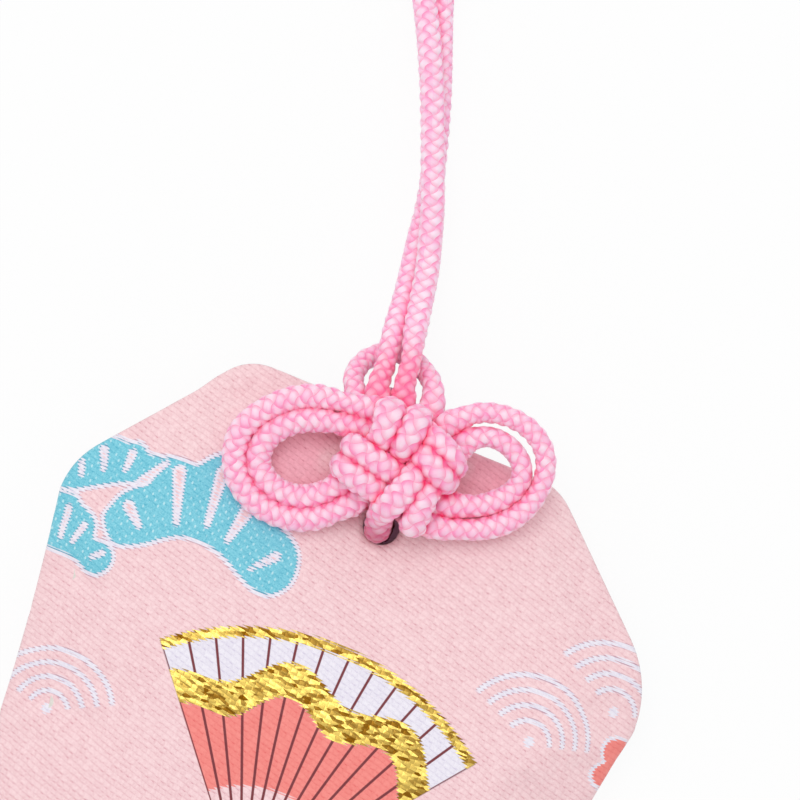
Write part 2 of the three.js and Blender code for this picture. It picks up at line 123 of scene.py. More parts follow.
RIGHT_UPPER = [
    (7.15, 5, 8.9), (7.05, 5.35, 9.5), (6.8, 6, 9.9), (5.9, 7.25, 9.95), (5, 8.05, 9.65),
    (4.1, 8.5, 8.75), (3.1, 8.95, 8), (0.7, 9.75, 7.85), (-1.2, 10.27, 7.8), (-3.45, 10.87, 7.8),
]
EAR_LOOP = [
    (-1.8, 10.8, 6.0), (-2.1, 11.5, 5.6), (-2.34, 12.3, 4.9), (-2.34, 13.0, 4.2), (-1.9, 13.9, 3.3),
    (-1.1, 14.6, 2.6), (0, 15.0, 2.3), (1.2, 15.1, 2.4), (2.6, 14.6, 2.9), (3.7, 13.5, 4.0),
    (4.3, 12.6, 4.9), (4.5, 11.7, 5.6), (4.45, 10.8, 6.1), (4.3, 10, 6.3),
]
HOLE_BIGHT = [
    (-0.12, 0.8, 8.4), (-0.26, 0.1, 7.5), (-0.34, -0.34, 6.3), (-0.3, -0.42, 5), (-0.15, -0.2, 3.9),
    (0.02, 0.4, 2.5), (0.1, 1.6, 1.45), (0.2, 5, 1.35), (0.3, 8.9, 1.35), (0.35, 10.7, 2.1),
    (0.35, 11.2, 3.5), (0.4, 10.6, 4.7), (0.45, 9.6, 5.45), (0.5, 8.6, 5.65),
]
print("points of the ear:", len(EAR_LOOP), "and of the cord through the hole:", len(HOLE_BIGHT))

# %% Routes of the bows and of the hanging cord
LEFT_OUTER = [
    (-3.85, 10.97, 7.8), (-5.7, 11.27, 7.8), (-7.66, 11.05, 7.75), (-9.62, 10.25, 7.7),
    (-11.1, 9.25, 7.6), (-12.1, 8.05, 7.5), (-12.5, 6.5, 7.4), (-12.45, 5, 7.4), (-11.85, 3.55, 7.4),
    (-10.8, 2.35, 7.4), (-9.44, 1.45, 7.4), (-7.66, 0.85, 7.5), (-5.68, 0.9, 7.6), (-3.85, 1.5, 7.75),
]
LEFT_INNER = [
    (-3.85, 9.07, 7.8), (-5.68, 9.3, 7.8), (-7.16, 9.17, 7.75), (-8.44, 8.7, 7.7), (-9.6, 7.9, 7.6),
    (-10.3, 6.8, 7.5), (-10.45, 5.5, 7.4), (-9.85, 4.2, 7.4), (-8.7, 3.2, 7.4), (-7.16, 2.7, 7.5),
    (-5.68, 2.78, 7.6), (-4.6, 3.2, 7.7), (-3.85, 3.62, 7.75),
]
RIGHT_OUTER = [
    (7.8, 9.75, 7.8), (9, 9.9, 7.8), (11, 9.5, 7.8), (12.75, 8.45, 7.8), (13.85, 6.9, 7.8),
    (14.1, 5.15, 7.7), (13.45, 3.1, 7.6), (12, 1.35, 7.6), (10, 0.25, 7.6), (7.8, -0.12, 7.7),
]
RIGHT_INNER = [
    (7.83, 7.65, 7.8), (9.35, 7.8, 7.8), (10.95, 7, 7.8), (11.95, 5.6, 7.8), (11.95, 4.1, 7.7),
    (10.88, 2.85, 7.6), (9.01, 2.05, 7.6), (7.8, 1.9, 7.7),
]
LEFT_ROOT = [
    (-0.34, 11.15, 6.55), (-0.28, 11.8, 6.4), (-0.14, 12.5, 6.1), (0.17, 13.4, 5.55),
]
RIGHT_ROOT = [
    (1.87, 10.3, 6.35), (1.93, 11.3, 6.45), (2.07, 12.3, 6.4), (2.33, 13.4, 6.15),
]
HANGING_LOOP = [
    (0.33, 13.8, 5.35), (0.97, 16.3, 4.2), (2.0, 19.66, 2.4), (2.66, 22.32, 1.3), (3.28, 25, 1.0),
    (3.83, 27.0, 1.0), (4.45, 30.3, 1.0), (4.85, 34.16, 1.0), (5.08, 37.7, 1.0), (5.18, 42.1, 1.0),
    (5.26, 45.3, 1.0), (6.0, 52, 1.0), (7.2, 62, 1.0), (8.3, 72, 1.0), (8.7, 79, 1.0),
    (7.4, 85.2, 1.0), (4, 88, 1.0), (0.6, 85.2, 1.0), (-0.7, 79, 1.0), (0.3, 72, 1.0),
    (1.6, 62, 1.0), (3.0, 52, 1.2), (3.8, 45.3, 2.1), (4.13, 42.1, 2.6), (4.4, 37.7, 2.9),
    (4.47, 33.3, 2.95), (4.47, 30.7, 2.95), (4.45, 27.6, 2.9), (4.27, 25, 2.9), (4.01, 22.3, 3.0),
    (3.52, 19.66, 3.7), (2.98, 17, 4.9), (2.5, 13.8, 6.05),
]


def knot_to_bag(points):
    """Points of the knot's frame in the bag's frame."""
    points = np.atleast_2d(np.array(points, float))
    cos, sin = math.cos(KNOT_TURN), math.sin(KNOT_TURN)
    x = HOLE[0] + points[:, 0] * cos - points[:, 1] * sin
    y = HOLE[1] + points[:, 0] * sin + points[:, 1] * cos
    return np.column_stack([x, y, points[:, 2]])


print("hanging loop reaches y =", round(knot_to_bag(HANGING_LOOP)[:, 1].max(), 1), "mm")

# %% [markdown]
# ## The braided cord
# The cord is a hollow braid. Two sets of silky strands wind round it in opposite ways, and each
# strand goes over one and under the next, which leaves a net of small rhombic grains. A bump map
# would leave a smooth outline, and at this size the outline shows every grain, so the braid is
# real relief: rings of points along a smooth curve, each point at the height of the upper strand.

# %% Smooth curves with even steps
CURVE_STEPS = 24


def smooth_step(value, low, high):
    share = np.clip((value - low) / (high - low), 0, 1)
    return share * share * (3 - 2 * share)


def bump_at(value, centre, width):
    return np.exp(-(((value - centre) / width) ** 2))


def line_length(line):
    return np.linalg.norm(np.diff(line, axis=0), axis=1).sum()


def respaced(line, count, whole=True):
    """The same line with evenly spaced points. A line that is not whole leaves out its end."""
    sizes = np.linalg.norm(np.diff(line, axis=0), axis=1)
    places = np.concatenate([[0], np.cumsum(sizes)])
    even = np.linspace(0, places[-1], count, endpoint=whole)
    return np.column_stack([np.interp(even, places, column) for column in line.T])


def evenly(line, step):
    """The same line with its points a step apart."""
    return respaced(line, max(2, round(line_length(line) / step)) + 1)


def smooth_line(points):
    """Smooth curve through the points, the same as in the CAD model, that makes no loops of its own."""
    points = np.array(points, float)
    padded = np.vstack([2 * points[0] - points[1], points, 2 * points[-1] - points[-2]])
    t = np.linspace(0, 1, CURVE_STEPS, endpoint=False)[:, None]
    spans = []
    for before, first, second, after in zip(padded, padded[1:], padded[2:], padded[3:]):
        span_in = np.linalg.norm(first - before) ** 0.5
        span = np.linalg.norm(second - first) ** 0.5
        span_out = np.linalg.norm(after - second) ** 0.5
        straight = (second - first) / span
        leave = (first - before) / span_in - (second - before) / (span_in + span) + straight
        arrive = straight - (after - first) / (span + span_out) + (after - second) / span_out
        spans.append(
            (2 * t**3 - 3 * t**2 + 1) * first
            + (t**3 - 2 * t**2 + t) * leave * span
            + (3 * t**2 - 2 * t**3) * second
            + (t**3 - t**2) * arrive * span
        )
    return np.vstack(spans + [points[-1:]])


def carried_frames(line):
    """Two side directions at each point, turned as little as possible along the line."""
    ahead = np.gradient(line, axis=0)
    ahead /= np.linalg.norm(ahead, axis=1)[:, None]
    side = np.cross(ahead[0], (0, 0, 1))
    sides = []
    for direction in ahead:
        side = side - direction * (side @ direction)
        side = side / np.linalg.norm(side)
        sides.append(side)
    sides = np.array(sides)
    return sides, np.cross(ahead, sides)


print("curve helpers ready")

# %% Meshes from points, and the braid's relief
CORD_RADIUS = 0.93
GRAIN_HEIGHT = 0.2
GRAIN_LENGTH = 1.13
BRAID_COLUMNS = 8
STRAND_CROWN = 0.9
CROWN_POWER = 2.5
STRAND_DIP = 0.55
FIRST_SHIFT = 0.5
SECOND_SHIFT = 1.5


def new_piece(name, points, faces):
    """A smooth mesh object from points in millimetres."""
    mesh = bpy.data.meshes.new(name)
    mesh.from_pydata((np.asarray(points) * MM).tolist(), [], faces)
    mesh.update()
    mesh.shade_smooth()
    piece = bpy.data.objects.new(name, mesh)
    scene.collection.objects.link(piece)
    return piece


def ring_cells(rings, count):
    """Point numbers of closed rings that follow each other, and the cells between the rings."""
    index = np.arange(rings * count).reshape(rings, count)
    after = np.roll(index, -1, axis=1)
    cells = np.stack([index[:-1], index[1:], after[1:], after[:-1]], axis=-1).reshape(-1, 4)
    return index, cells


def strand_height(across, lengthwise, shift):
    """Height of one set of strands: crowned across, and over and under in turn along."""
    number = np.floor(across)
    from_middle = np.abs(2 * (across - number) - 1)
    over = np.cos(np.pi * (lengthwise - number - shift))
    return 1 - STRAND_CROWN * from_middle**CROWN_POWER - STRAND_DIP * (1 - over) / 2


def braid_relief(along, columns):
    """Height of the braid, 0 to 1, at a length along the cord and a column round it."""
    first = along / GRAIN_LENGTH + columns / 2
    second = along / GRAIN_LENGTH - columns / 2
    return np.maximum(
        strand_height(first, second, FIRST_SHIFT), strand_height(second, first, SECOND_SHIFT)
    )


print("strands round the cord:", BRAID_COLUMNS)

# %% [markdown]
# A hollow braid is not stiff, so it flattens where it is squeezed: the strands in the knot are
# wider than the free cord, and the left bow and the legs of the hanging loop lie a little flat
# too. The rings are stretched sideways there, level with the table.

# %% Where the cord lies flat
KNOT_CENTRE = (1.9, 5.3)
KNOT_SPREAD = 0.28
KNOT_NEAR = 5.2
KNOT_FAR = 7.6
BOW_SPREAD = 0.2
BOW_FROM = 3
BOW_TO = 5.5
LEG_SPREAD = 0.16
LEG_FROM = 14.5
LEG_TO = 17.5
# Places in the knot where a strand is squeezed most: x, y, reach and spread.
SQUEEZES = [
    (0.4, 10, 1.9, 0.5), (3, 9.3, 1.5, 0.38), (1.6, 2.7, 1.9, 0.42), (3.6, 1, 1.6, 0.32),
    (-1.4, 4.9, 2.4, 0.38), (10, 1.2, 2.6, 0.14),
]
KNOT_FULLNESS = 0.05


def spread_at(line):
    """How much wider than round the cord is, along a line of the knot's frame."""
    from_knot = np.hypot(line[:, 0] - KNOT_CENTRE[0], line[:, 1] - KNOT_CENTRE[1])
    spread = KNOT_SPREAD * (1 - smooth_step(from_knot, KNOT_NEAR, KNOT_FAR))
    for x, y, reach, most in SQUEEZES:
        from_place = np.hypot(line[:, 0] - x, line[:, 1] - y)
        spread = np.maximum(spread, most * bump_at(from_place, 0, reach))
    spread = np.maximum(spread, LEG_SPREAD * smooth_step(line[:, 1], LEG_FROM, LEG_TO))
    return np.maximum(spread, BOW_SPREAD * smooth_step(-line[:, 0], BOW_FROM, BOW_TO))


print("places where a strand is squeezed most:", len(SQUEEZES))

# %% Braided cord along a route
RING_POINTS = 60
RING_STEP = 0.1
BRAID_TWIST = 0.035
END_ROUND = 0.8
END_LEAST = 0.02
LEAST_LEVEL = 0.15


def store(piece, name, values):
    """Keeps a value or a vector for each point of a piece, for its material."""
    kind, field = ("FLOAT_VECTOR", "vector") if values.ndim == 2 else ("FLOAT", "value")
    kept = piece.data.attributes.new(name, kind, "POINT")
    kept.data.foreach_set(field, values.astype(np.float32).ravel())


def braided_cord(name, route):
    """A braided cord along a route of the knot's frame, and the line that it follows."""
    own_line = evenly(smooth_line(route), RING_STEP)
    line = knot_to_bag(own_line)
    rings = len(line)
    along = np.arange(rings) * RING_STEP
    columns = np.arange(RING_POINTS) / RING_POINTS * BRAID_COLUMNS
    relief = braid_relief(along[:, None], columns[None, :])
    from_end = np.minimum(along, along[::-1])
    rounding = np.sqrt(1 - (1 - np.clip(from_end / END_ROUND, END_LEAST, 1)) ** 2)
    radius = (CORD_RADIUS - GRAIN_HEIGHT * (1 - relief)) * rounding[:, None]
    angle = 2 * np.pi * columns / BRAID_COLUMNS + BRAID_TWIST * along[:, None]
    sides, ups = carried_frames(line)
    arms = radius[..., None] * (
        np.cos(angle)[..., None] * sides[:, None] + np.sin(angle)[..., None] * ups[:, None]
    )
    level = np.cross(np.gradient(line, RING_STEP, axis=0), (0, 0, 1))
    level /= np.maximum(np.linalg.norm(level, axis=1), LEAST_LEVEL)[:, None]
    spread = spread_at(own_line)
    wider = spread[:, None] * np.einsum("rpk,rk->rp", arms, level)
    fuller = 1 + KNOT_FULLNESS * np.minimum(1, spread / KNOT_SPREAD)
    points = line[:, None] + arms * fuller[:, None, None]
    points += wider[..., None] * level[:, None]
    index, cells = ring_cells(rings, RING_POINTS)
    faces = cells.tolist() + [index[0].tolist(), index[-1][::-1].tolist()]
    piece = new_piece(name, points.reshape(-1, 3), faces)
    store_braid(piece.data, along, columns, relief)
    return piece, line


def store_braid(mesh, along, columns, relief):
    """Keeps each face corner's length in grains, column and grain height for the material."""
    rings = len(along)
    after = np.append(columns[1:], BRAID_COLUMNS)
    lengths = np.repeat(along / GRAIN_LENGTH, RING_POINTS).reshape(rings, RING_POINTS)
    here = np.stack([lengths, np.tile(columns, (rings, 1)), relief], axis=-1)
    beside = np.stack([lengths, np.tile(after, (rings, 1)), np.roll(relief, -1, axis=1)], axis=-1)
    corners = np.stack([here[:-1], here[1:], beside[1:], beside[:-1]], axis=2).reshape(-1, 3)
    caps = np.vstack([here[0], here[-1][::-1]])
    braid = mesh.attributes.new("braid", "FLOAT_VECTOR", "CORNER")
    braid.data.foreach_set("vector", np.vstack([corners, caps]).astype(np.float32).ravel())


print("points round the cord:", RING_POINTS)

# %% [markdown]
# Each long run of the cord takes a strand over the knot, its bow, and a strand back over the knot.
# Where a strand ends in the CAD model, its run goes a little deeper into the knot, so that no cut
# end shows, and its front is drawn in by a share. One run goes on through the hole. The ear rides
# on the knot.

# %% Runs of the cord
KNOT_MIDDLE = np.array([2.25, 5.55])
LOOSE_FROM = 5
LOOSE_TO = 8


def tightened(strand, share):
    """A strand whose front is drawn towards the knot's middle, while its way into a bow stays."""
    points = np.array(strand, float)
    drawn = share * (1 - smooth_step(np.arange(len(points)), LOOSE_FROM, LOOSE_TO))
    points[:, :2] += drawn[:, None] * (KNOT_MIDDLE - points[:, :2])
    return points.tolist()


# Each run's route in the knot's frame, and the body that its bow or loop moves with.
RUNS = {
    "left_inner_cord": (
        tightened([(0.62, 11.15, 8.1)] + TOP_LEFT, 0.12) + LEFT_INNER[::-1]
        + tightened([(6.5, 3.3, 8.2)] + RIGHT_LOWER, 0.2)[::-1],
        "left_bow",
    ),
    "left_outer_cord": (
        tightened([(3.32, 10.4, 8.2)] + TOP_RIGHT, 0.12) + LEFT_OUTER[::-1]
        + tightened([(7.2, 4.85, 8)] + RIGHT_UPPER, 0.18)[::-1],
        "left_bow",
    ),
    "right_inner_cord": (
        tightened([(-3.4, 7.35, 7.6)] + LEFT_UPPER, 0.14) + RIGHT_INNER[::-1]
        + tightened([(2.7, -0.75, 8.5)] + BOTTOM_RIGHT, 0.13)[::-1],
        "right_bow",
    ),
    "right_outer_cord": (
        tightened([(-4.35, 5.5, 7.5)] + LEFT_LOWER, 0.13) + RIGHT_OUTER[::-1]
        + BOTTOM_LEFT[::-1] + HOLE_BIGHT,
        "right_bow",
    ),
    "hanging_cord": (
        [(-0.3, 10.2, 6.2)] + LEFT_ROOT + HANGING_LOOP + RIGHT_ROOT[::-1] + [(1.9, 9.5, 6.2)],
        "hanging_cord",
    ),
}
# The CAD strands and loops that each run joins.
STANDS_FOR = {
    "left_inner_cord": ("knot_top_left_strand", "left_bow_inner_loop", "knot_right_lower_strand"),
    "left_outer_cord": ("knot_top_right_strand", "left_bow_outer_loop", "knot_right_upper_strand"),
    "right_inner_cord": ("knot_left_upper_strand", "right_bow_inner_loop", "knot_bottom_right_strand"),
    "right_outer_cord": (
        "knot_left_lower_strand", "right_bow_outer_loop", "knot_bottom_left_strand", "hole_bight",
    ),
    "hanging_cord": ("hanging_root_left", "hanging_loop", "hanging_root_right"),
}
EAR = [(-0.9, 9.8, 6.1)] + EAR_LOOP + [(4, 8.9, 6.4)]
print("runs:", list(RUNS))

cords = []
lines = []
for name, (route, body) in RUNS.items():
    cord, line = braided_cord(name, route)
    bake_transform(cord)
    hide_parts(*STANDS_FOR[name])
    cords.append(cord)
    lines.append(line)

ear, ear_line = braided_cord("ear_cord", EAR)
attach(ear, "knot")
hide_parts("knot_ear_loop")
cords.append(ear)
lines.append(ear_line)
print("ear_cord", round(RING_STEP * (len(ear_line) - 1), 1), "mm")

# %% [markdown]
# Where two strands press together, light goes to and fro between them and comes out a deeper
# pink, and this is painted into the silk's colour as crease shade. Each point keeps how close the
# next strand is, and the painted shade follows from that. The knot's shade on the roots of the
# hanging loop is painted in too, deeper all round, and so is the shade of the cord deep in the hole.

# %% How close the next strand is
NEXT_STRAND = 3
LOOK_AROUND = 2.9
TOUCH = 0.05
CLEAR = 0.9
BOW_SHARE = 0.6
HOLE_REACH = 2.2
SUNK_FROM = 10.2
SUNK_DEPTH = 2.6
DEEP_SHARE = 0.12
LEG_SHARE = 0.6
ROOT_SHARE = 0.6
ROOT_NEAR = 7.5
ROOT_FAR = 12


def points_of(mesh):
    values = np.zeros(len(mesh.vertices) * 3, np.float32)
    mesh.vertices.foreach_get("co", values)
    return values.reshape(-1, 3).astype(float)


def search_tree(points):
    """A tree that quickly finds those of many points that lie near a place."""
    tree = KDTree(len(points))
    for number, place in enumerate(points):
        tree.insert(place, number)
    tree.balance()
    return tree


def crease_shade_points(cord, number, tree, centres, owners, lengths):
    """For each point of a cord, 0 to 1, painted shade: from how close the next strand, the hole and the knot
    are.
    """
    rings = points_of(cord.data).reshape(-1, RING_POINTS, 3) / MM
    crease_shade = np.zeros(rings.shape[:2])
    for ring, place in enumerate(lines[number]):
        near = np.array([found for _, found, _ in tree.find_range(place, LOOK_AROUND)])
        apart = np.abs(lengths[near] - ring * RING_STEP)
        others = centres[near[(owners[near] != number) | (apart > NEXT_STRAND)]]
        if len(others):
            gaps = np.linalg.norm(rings[ring][:, None] - others, axis=2).min(axis=1) - CORD_RADIUS
            crease_shade[ring] = 1 - smooth_step(gaps, TOUCH, CLEAR)
    middle = knot_to_bag([*KNOT_MIDDLE, 0])[0]
    from_knot = np.hypot(rings[..., 0] - middle[0], rings[..., 1] - middle[1])
    crease_shade *= BOW_SHARE + (1 - BOW_SHARE) * (1 - smooth_step(from_knot, KNOT_NEAR, KNOT_FAR))
    from_hole = np.hypot(rings[..., 0] - HOLE[0], rings[..., 1] - HOLE[1])
    # Painted shade on the cord deep in the hole.
    sunk_shade = smooth_step(SUNK_FROM - rings[..., 2], 0, SUNK_DEPTH) * (from_hole < HOLE_REACH)
    shaded = 1 - smooth_step(from_knot, ROOT_NEAR, ROOT_FAR)
    return crease_shade.ravel(), sunk_shade.ravel(), shaded.ravel()


owners = np.concatenate([np.full(len(line), number) for number, line in enumerate(lines)])
lengths = np.concatenate([np.arange(len(line)) * RING_STEP for line in lines])
centres = np.vstack(lines)
tree = search_tree(centres)
for number, cord in enumerate(cords):
    crease_shade, sunk_shade, shaded = crease_shade_points(cord, number, tree, centres, owners, lengths)
    # Painted shade: the crease shade, and on the hanging cord also the knot's shade on its roots.
    if cord.name == "hanging_cord":
        crease_shade = np.maximum(LEG_SHARE * crease_shade, ROOT_SHARE * shaded)
    else:
        crease_shade = np.maximum(crease_shade, DEEP_SHARE)
    store(cord, "crease_shade", crease_shade)
    store(cord, "sunk_shade", sunk_shade)
    print(cord.name, "pressed share", round(crease_shade.mean(), 2))

# %% [markdown]
# ## The bag's outline and its crown
# The bag is two panels sewn together along a six-sided outline. Its long sides pull in between
# the corners, as padded fabric does, and both faces swell from the seam to the middle. The CAD
# model's values give the outline and the heights, on a much finer net. At the corners, small
# corrections make the seam as full as padding makes it.

# %% Outline of the bag
BAG_WIDTH = 54
TOP_Y = 40.5
SHOULDER_Y = 27.3
BOTTOM_Y = -40.5
TOP_WIDTH = 29.2
TOP_SKEW = -1.95
LEFT_PULL = 2.4
RIGHT_PULL = 3.2
BOTTOM_PULL = 1.2
TOP_CORNER = 2.1
LEFT_SHOULDER_CORNER = 2.8
RIGHT_SHOULDER_CORNER = 4.5
SHOULDER_PUFF = 0.45
TOP_PUFF = np.array([0.35, 0.3])
RIGHT_SHOULDER = (26.35, 27.6)
HEM_ROLL = 0.25
BOTTOM_CORNER = 5
HEM_Y = 37.6
HEM_FADE = 0.9
HEM_LEFT_END = 8
BAG_CENTRE = np.array([0, -2])
OUTLINE_POINTS = 520


def quadratic(first, bend, last):
    t = np.linspace(0, 1, CURVE_STEPS, endpoint=False)[:, None]
    return (1 - t) ** 2 * first + 2 * t * (1 - t) * bend + t**2 * last


def towards(first, last, length):
    return first + (last - first) / np.linalg.norm(last - first) * length


def rounded_outline(corners, rounds, pulls, count):
    """Closed outline through rounded corners, with its edges drawn in by their pulls."""
    corners = np.array(corners, float)
    total = len(corners)
    spans = []
    for i, corner in enumerate(corners):
        following = (i + 1) % total
        leave = towards(corner, corners[following], rounds[i])
        arrive = towards(corners[following], corner, rounds[following])
        after = towards(corners[following], corners[(i + 2) % total], rounds[following])
        along = (arrive - leave) / np.linalg.norm(arrive - leave)
        bend = (leave + arrive) / 2 + 2 * pulls[i] * np.array([-along[1], along[0]])
        spans.append(quadratic(leave, bend, arrive))
        spans.append(quadratic(arrive, corners[following], after))
    return respaced(np.vstack(spans + [spans[0][:1]]), count, whole=False)


side = BAG_WIDTH / 2
bag_outline = rounded_outline(
    [
        (-side, BOTTOM_Y), (side, BOTTOM_Y), RIGHT_SHOULDER,
        (TOP_SKEW + TOP_WIDTH / 2, TOP_Y), np.array([TOP_SKEW - TOP_WIDTH / 2, TOP_Y]) + TOP_PUFF,
        (-side - SHOULDER_PUFF, SHOULDER_Y),
    ],
    [BOTTOM_CORNER, BOTTOM_CORNER, RIGHT_SHOULDER_CORNER, TOP_CORNER, TOP_CORNER, LEFT_SHOULDER_CORNER],
    [BOTTOM_PULL, RIGHT_PULL, 0, 0, 0, LEFT_PULL],
    OUTLINE_POINTS,
)
outward = bag_outline - BAG_CENTRE
outward /= np.linalg.norm(outward, axis=1)[:, None]
in_hem = smooth_step(bag_outline[:, 1], HEM_Y - HEM_FADE, HEM_Y + HEM_FADE)
left_hem = in_hem * smooth_step(-bag_outline[:, 0], 0, HEM_LEFT_END)
bag_outline += HEM_ROLL * left_hem[:, None] * outward
print("outline:", np.round(bag_outline.min(axis=0), 1), "to", np.round(bag_outline.max(axis=0), 1))

# %% Heights of the two faces
SEAM_Z = 3.4
SEAM_GAP = 0.1
FRONT_LIFT = 4.8
FRONT_LIFT_TOP = 3.0
BACK_DROP = 4.6
BACK_DROP_TOP = 0.9
THIN_FROM_Y = 12
THIN_TO_Y = 33
BACK_THIN_FROM_Y = 14
BACK_THIN_TO_Y = 29
DOME_POWER = 3
HOLE_RADIUS = 1.6
DENT_DEPTH = 0.9
DENT_RADIUS = 4.5
HEM_WIDTH = 0.4
HEM_DEPTH = 0.35


def dome(share):
    return np.sqrt(np.clip(1 - share**DOME_POWER, 0, 1))


def front_rise(x, y, share):
    """Rise of the front over the seam, with the dent at the hole and the hem's fold."""
    lift = FRONT_LIFT + (FRONT_LIFT_TOP - FRONT_LIFT) * smooth_step(y, THIN_FROM_Y, THIN_TO_Y)
    distance = np.hypot(x - HOLE[0], y - HOLE[1])
    dent = DENT_DEPTH * np.exp(-((distance / DENT_RADIUS) ** 2))
    hem = HEM_DEPTH * bump_at(y, HEM_Y, HEM_WIDTH)
    return (lift - dent - hem) * dome(share)


def back_fall(x, y, share):
    """Fall of the back below the seam, flat where it lies on the table."""
    drop = BACK_DROP + (BACK_DROP_TOP - BACK_DROP) * smooth_step(y, BACK_THIN_FROM_Y, BACK_THIN_TO_Y)
    return np.minimum(drop * dome(share), SEAM_Z - SEAM_GAP / 2)


print("crown of the front:", SEAM_Z + SEAM_GAP / 2 + FRONT_LIFT, "mm above the table")

# %% [markdown]
# ## Net of points
# A net of rings round the bag's middle follows the outline everywhere, and lies closer together
# near the seam, where the face turns down most. The hole is cut by leaving out the net's cells
# inside it and moving the cells' corners beside it onto the hole's circle.

# %% Net of one face
NET_RINGS = 90
RIM_CROWDING = 1.5


def face_net(outline):
    """Flat points of the net, ring by ring, and each ring's share of the way to the edge."""
    steps = np.linspace(0, 1, NET_RINGS + 1)[1:]
    shares = 1 - (1 - steps) ** RIM_CROWDING
    flat = BAG_CENTRE + shares[:, None, None] * (outline - BAG_CENTRE)
    return flat, np.repeat(shares[:, None], len(outline), axis=1)


def net_cells(flat):
    """The net's cells as point numbers, without those in the hole, and the cells' hole edges."""
    _, cells = ring_cells(*flat.shape[:2])
    from_hole = np.linalg.norm(flat.reshape(-1, 2) - HOLE, axis=1)
    cut = (from_hole[cells] < HOLE_RADIUS).any(axis=1)
    pairs = ((0, 1), (1, 2), (2, 3), (3, 0))
    edges = np.concatenate([cells[:, pair] for pair in pairs])
    owner_cut = np.tile(cut, 4)
    gone = {tuple(edge) for edge in edges[owner_cut].tolist()}
    hole_edges = [edge for edge in edges[~owner_cut].tolist() if (edge[1], edge[0]) in gone]
    return cells[~cut], hole_edges


flat, shares = face_net(bag_outline)
cells, hole_edges = net_cells(flat)
rim_of_hole = sorted({point for edge in hole_edges for point in edge})
flat_points = flat.reshape(-1, 2)
outward = flat_points[rim_of_hole] - HOLE
flat_points[rim_of_hole] = HOLE + outward / np.linalg.norm(outward, axis=1)[:, None] * HOLE_RADIUS
flat = flat_points.reshape(flat.shape)
print("cells of one face:", len(cells), "points round the hole:", len(rim_of_hole))

# %% Faces before the padding swells
front = np.dstack([flat, SEAM_Z + SEAM_GAP / 2 + front_rise(flat[..., 0], flat[..., 1], shares)])
back = np.dstack([flat, SEAM_Z - SEAM_GAP / 2 - back_fall(flat[..., 0], flat[..., 1], shares)])
print("front z to", round(front[..., 2].max(), 2), "back z from", round(back[..., 2].min(), 2))

# %% [markdown]
# ## Padding
# Wadding presses the two panels apart, and sewn fabric answers with soft, slightly uneven
# swelling. A cloth simulation with air pressure gives that. It runs on a coarse closed copy, ten
# times as large because the solver likes everyday sizes, with its seam held still. The movement
# is capped and then carried over to the fine net.

# %% Swell a coarse copy of the bag
SIM_SCALE = 10
SIM_VOXEL = 0.009
SIM_FRAMES = 20
SIM_SKIP = 5
PRESSURE = 3
SPARE_CLOTH = -0.012
MOST_SWELL = 0.7
HELD_SHARE = 0.985


def closed_copy():
    """Coarse closed mesh of both faces, enlarged and remeshed."""
    top = front[SIM_SKIP - 1::SIM_SKIP, ::SIM_SKIP]
    low = back[SIM_SKIP - 1::SIM_SKIP, ::SIM_SKIP]
    rows = np.concatenate([top, low[::-1]])
    index, cells = ring_cells(*rows.shape[:2])
    faces = cells.tolist() + [index[0].tolist(), index[-1][::-1].tolist()]
    copy = new_piece("swelling_copy", rows.reshape(-1, 3) * SIM_SCALE, faces)
    remesh = copy.modifiers.new("remesh", "REMESH")
    remesh.mode = "VOXEL"
    remesh.voxel_size = SIM_VOXEL
    bpy.context.view_layer.objects.active = copy
    bpy.ops.object.modifier_apply(modifier=remesh.name)
    return copy


def edge_share(points):
    """Share of the way from the bag's middle to its outline."""
    spokes = bag_outline - BAG_CENTRE
    angles = np.arctan2(spokes[:, 1], spokes[:, 0])
    arms = points - BAG_CENTRE
    turns = np.arctan2(arms[:, 1], arms[:, 0])
    return np.hypot(*arms.T) / np.interp(turns, angles, np.hypot(*spokes.T), period=2 * np.pi)


def swelling():
    """Points of the coarse copy in millimetres, and how far the cloth moves each."""
    copy = closed_copy()
    before = points_of(copy.data)
    held = np.flatnonzero(edge_share(before[:, :2] / MM / SIM_SCALE) > HELD_SHARE)
    seam = copy.vertex_groups.new(name="seam")
    seam.add(held.tolist(), 1, "REPLACE")
    cloth = copy.modifiers.new("cloth", "CLOTH")
    settings = cloth.settings
    settings.vertex_group_mass = seam.name
    settings.use_pressure = True
    settings.uniform_pressure_force = PRESSURE
    settings.shrink_min = SPARE_CLOTH
    settings.effector_weights.gravity = 0
    for number in range(1, SIM_FRAMES + 1):
        scene.frame_set(number)
    moved = copy.evaluated_get(bpy.context.evaluated_depsgraph_get())
    shift = points_of(moved.data) - before
    scene.frame_set(1)
    bpy.data.objects.remove(copy)
    return before / MM / SIM_SCALE, shift / MM / SIM_SCALE


coarse, shift = swelling()

# %% Carry the swelling over to the fine net
NEAREST = 6
NEAR_SOFTNESS = 0.2
TINY = 1e-9


def carried_swelling(points):
    """Swelling at the net's points, from the nearest points of the coarse copy."""
    tree = search_tree(coarse)
    sizes = np.maximum(np.linalg.norm(shift, axis=1), TINY)
    capped = shift * np.minimum(1, MOST_SWELL / sizes)[:, None]
    carried = np.zeros_like(points)
    for number, place in enumerate(points):
        found = tree.find_n(place, NEAREST)
        weights = np.array([1 / (distance + NEAR_SOFTNESS) for _, _, distance in found])
        carried[number] = weights @ capped[[near for _, near, _ in found]] / weights.sum()
    return carried


front += carried_swelling(front.reshape(-1, 3)).reshape(front.shape)
back += carried_swelling(back.reshape(-1, 3)).reshape(back.shape)
front[..., 2] = np.maximum(front[..., 2], SEAM_Z + SEAM_GAP / 2)
back[..., 2] = np.clip(back[..., 2], 0, SEAM_Z - SEAM_GAP / 2)
print("front z to", round(front[..., 2].max(), 2), "back z from", round(back[..., 2].min(), 2))

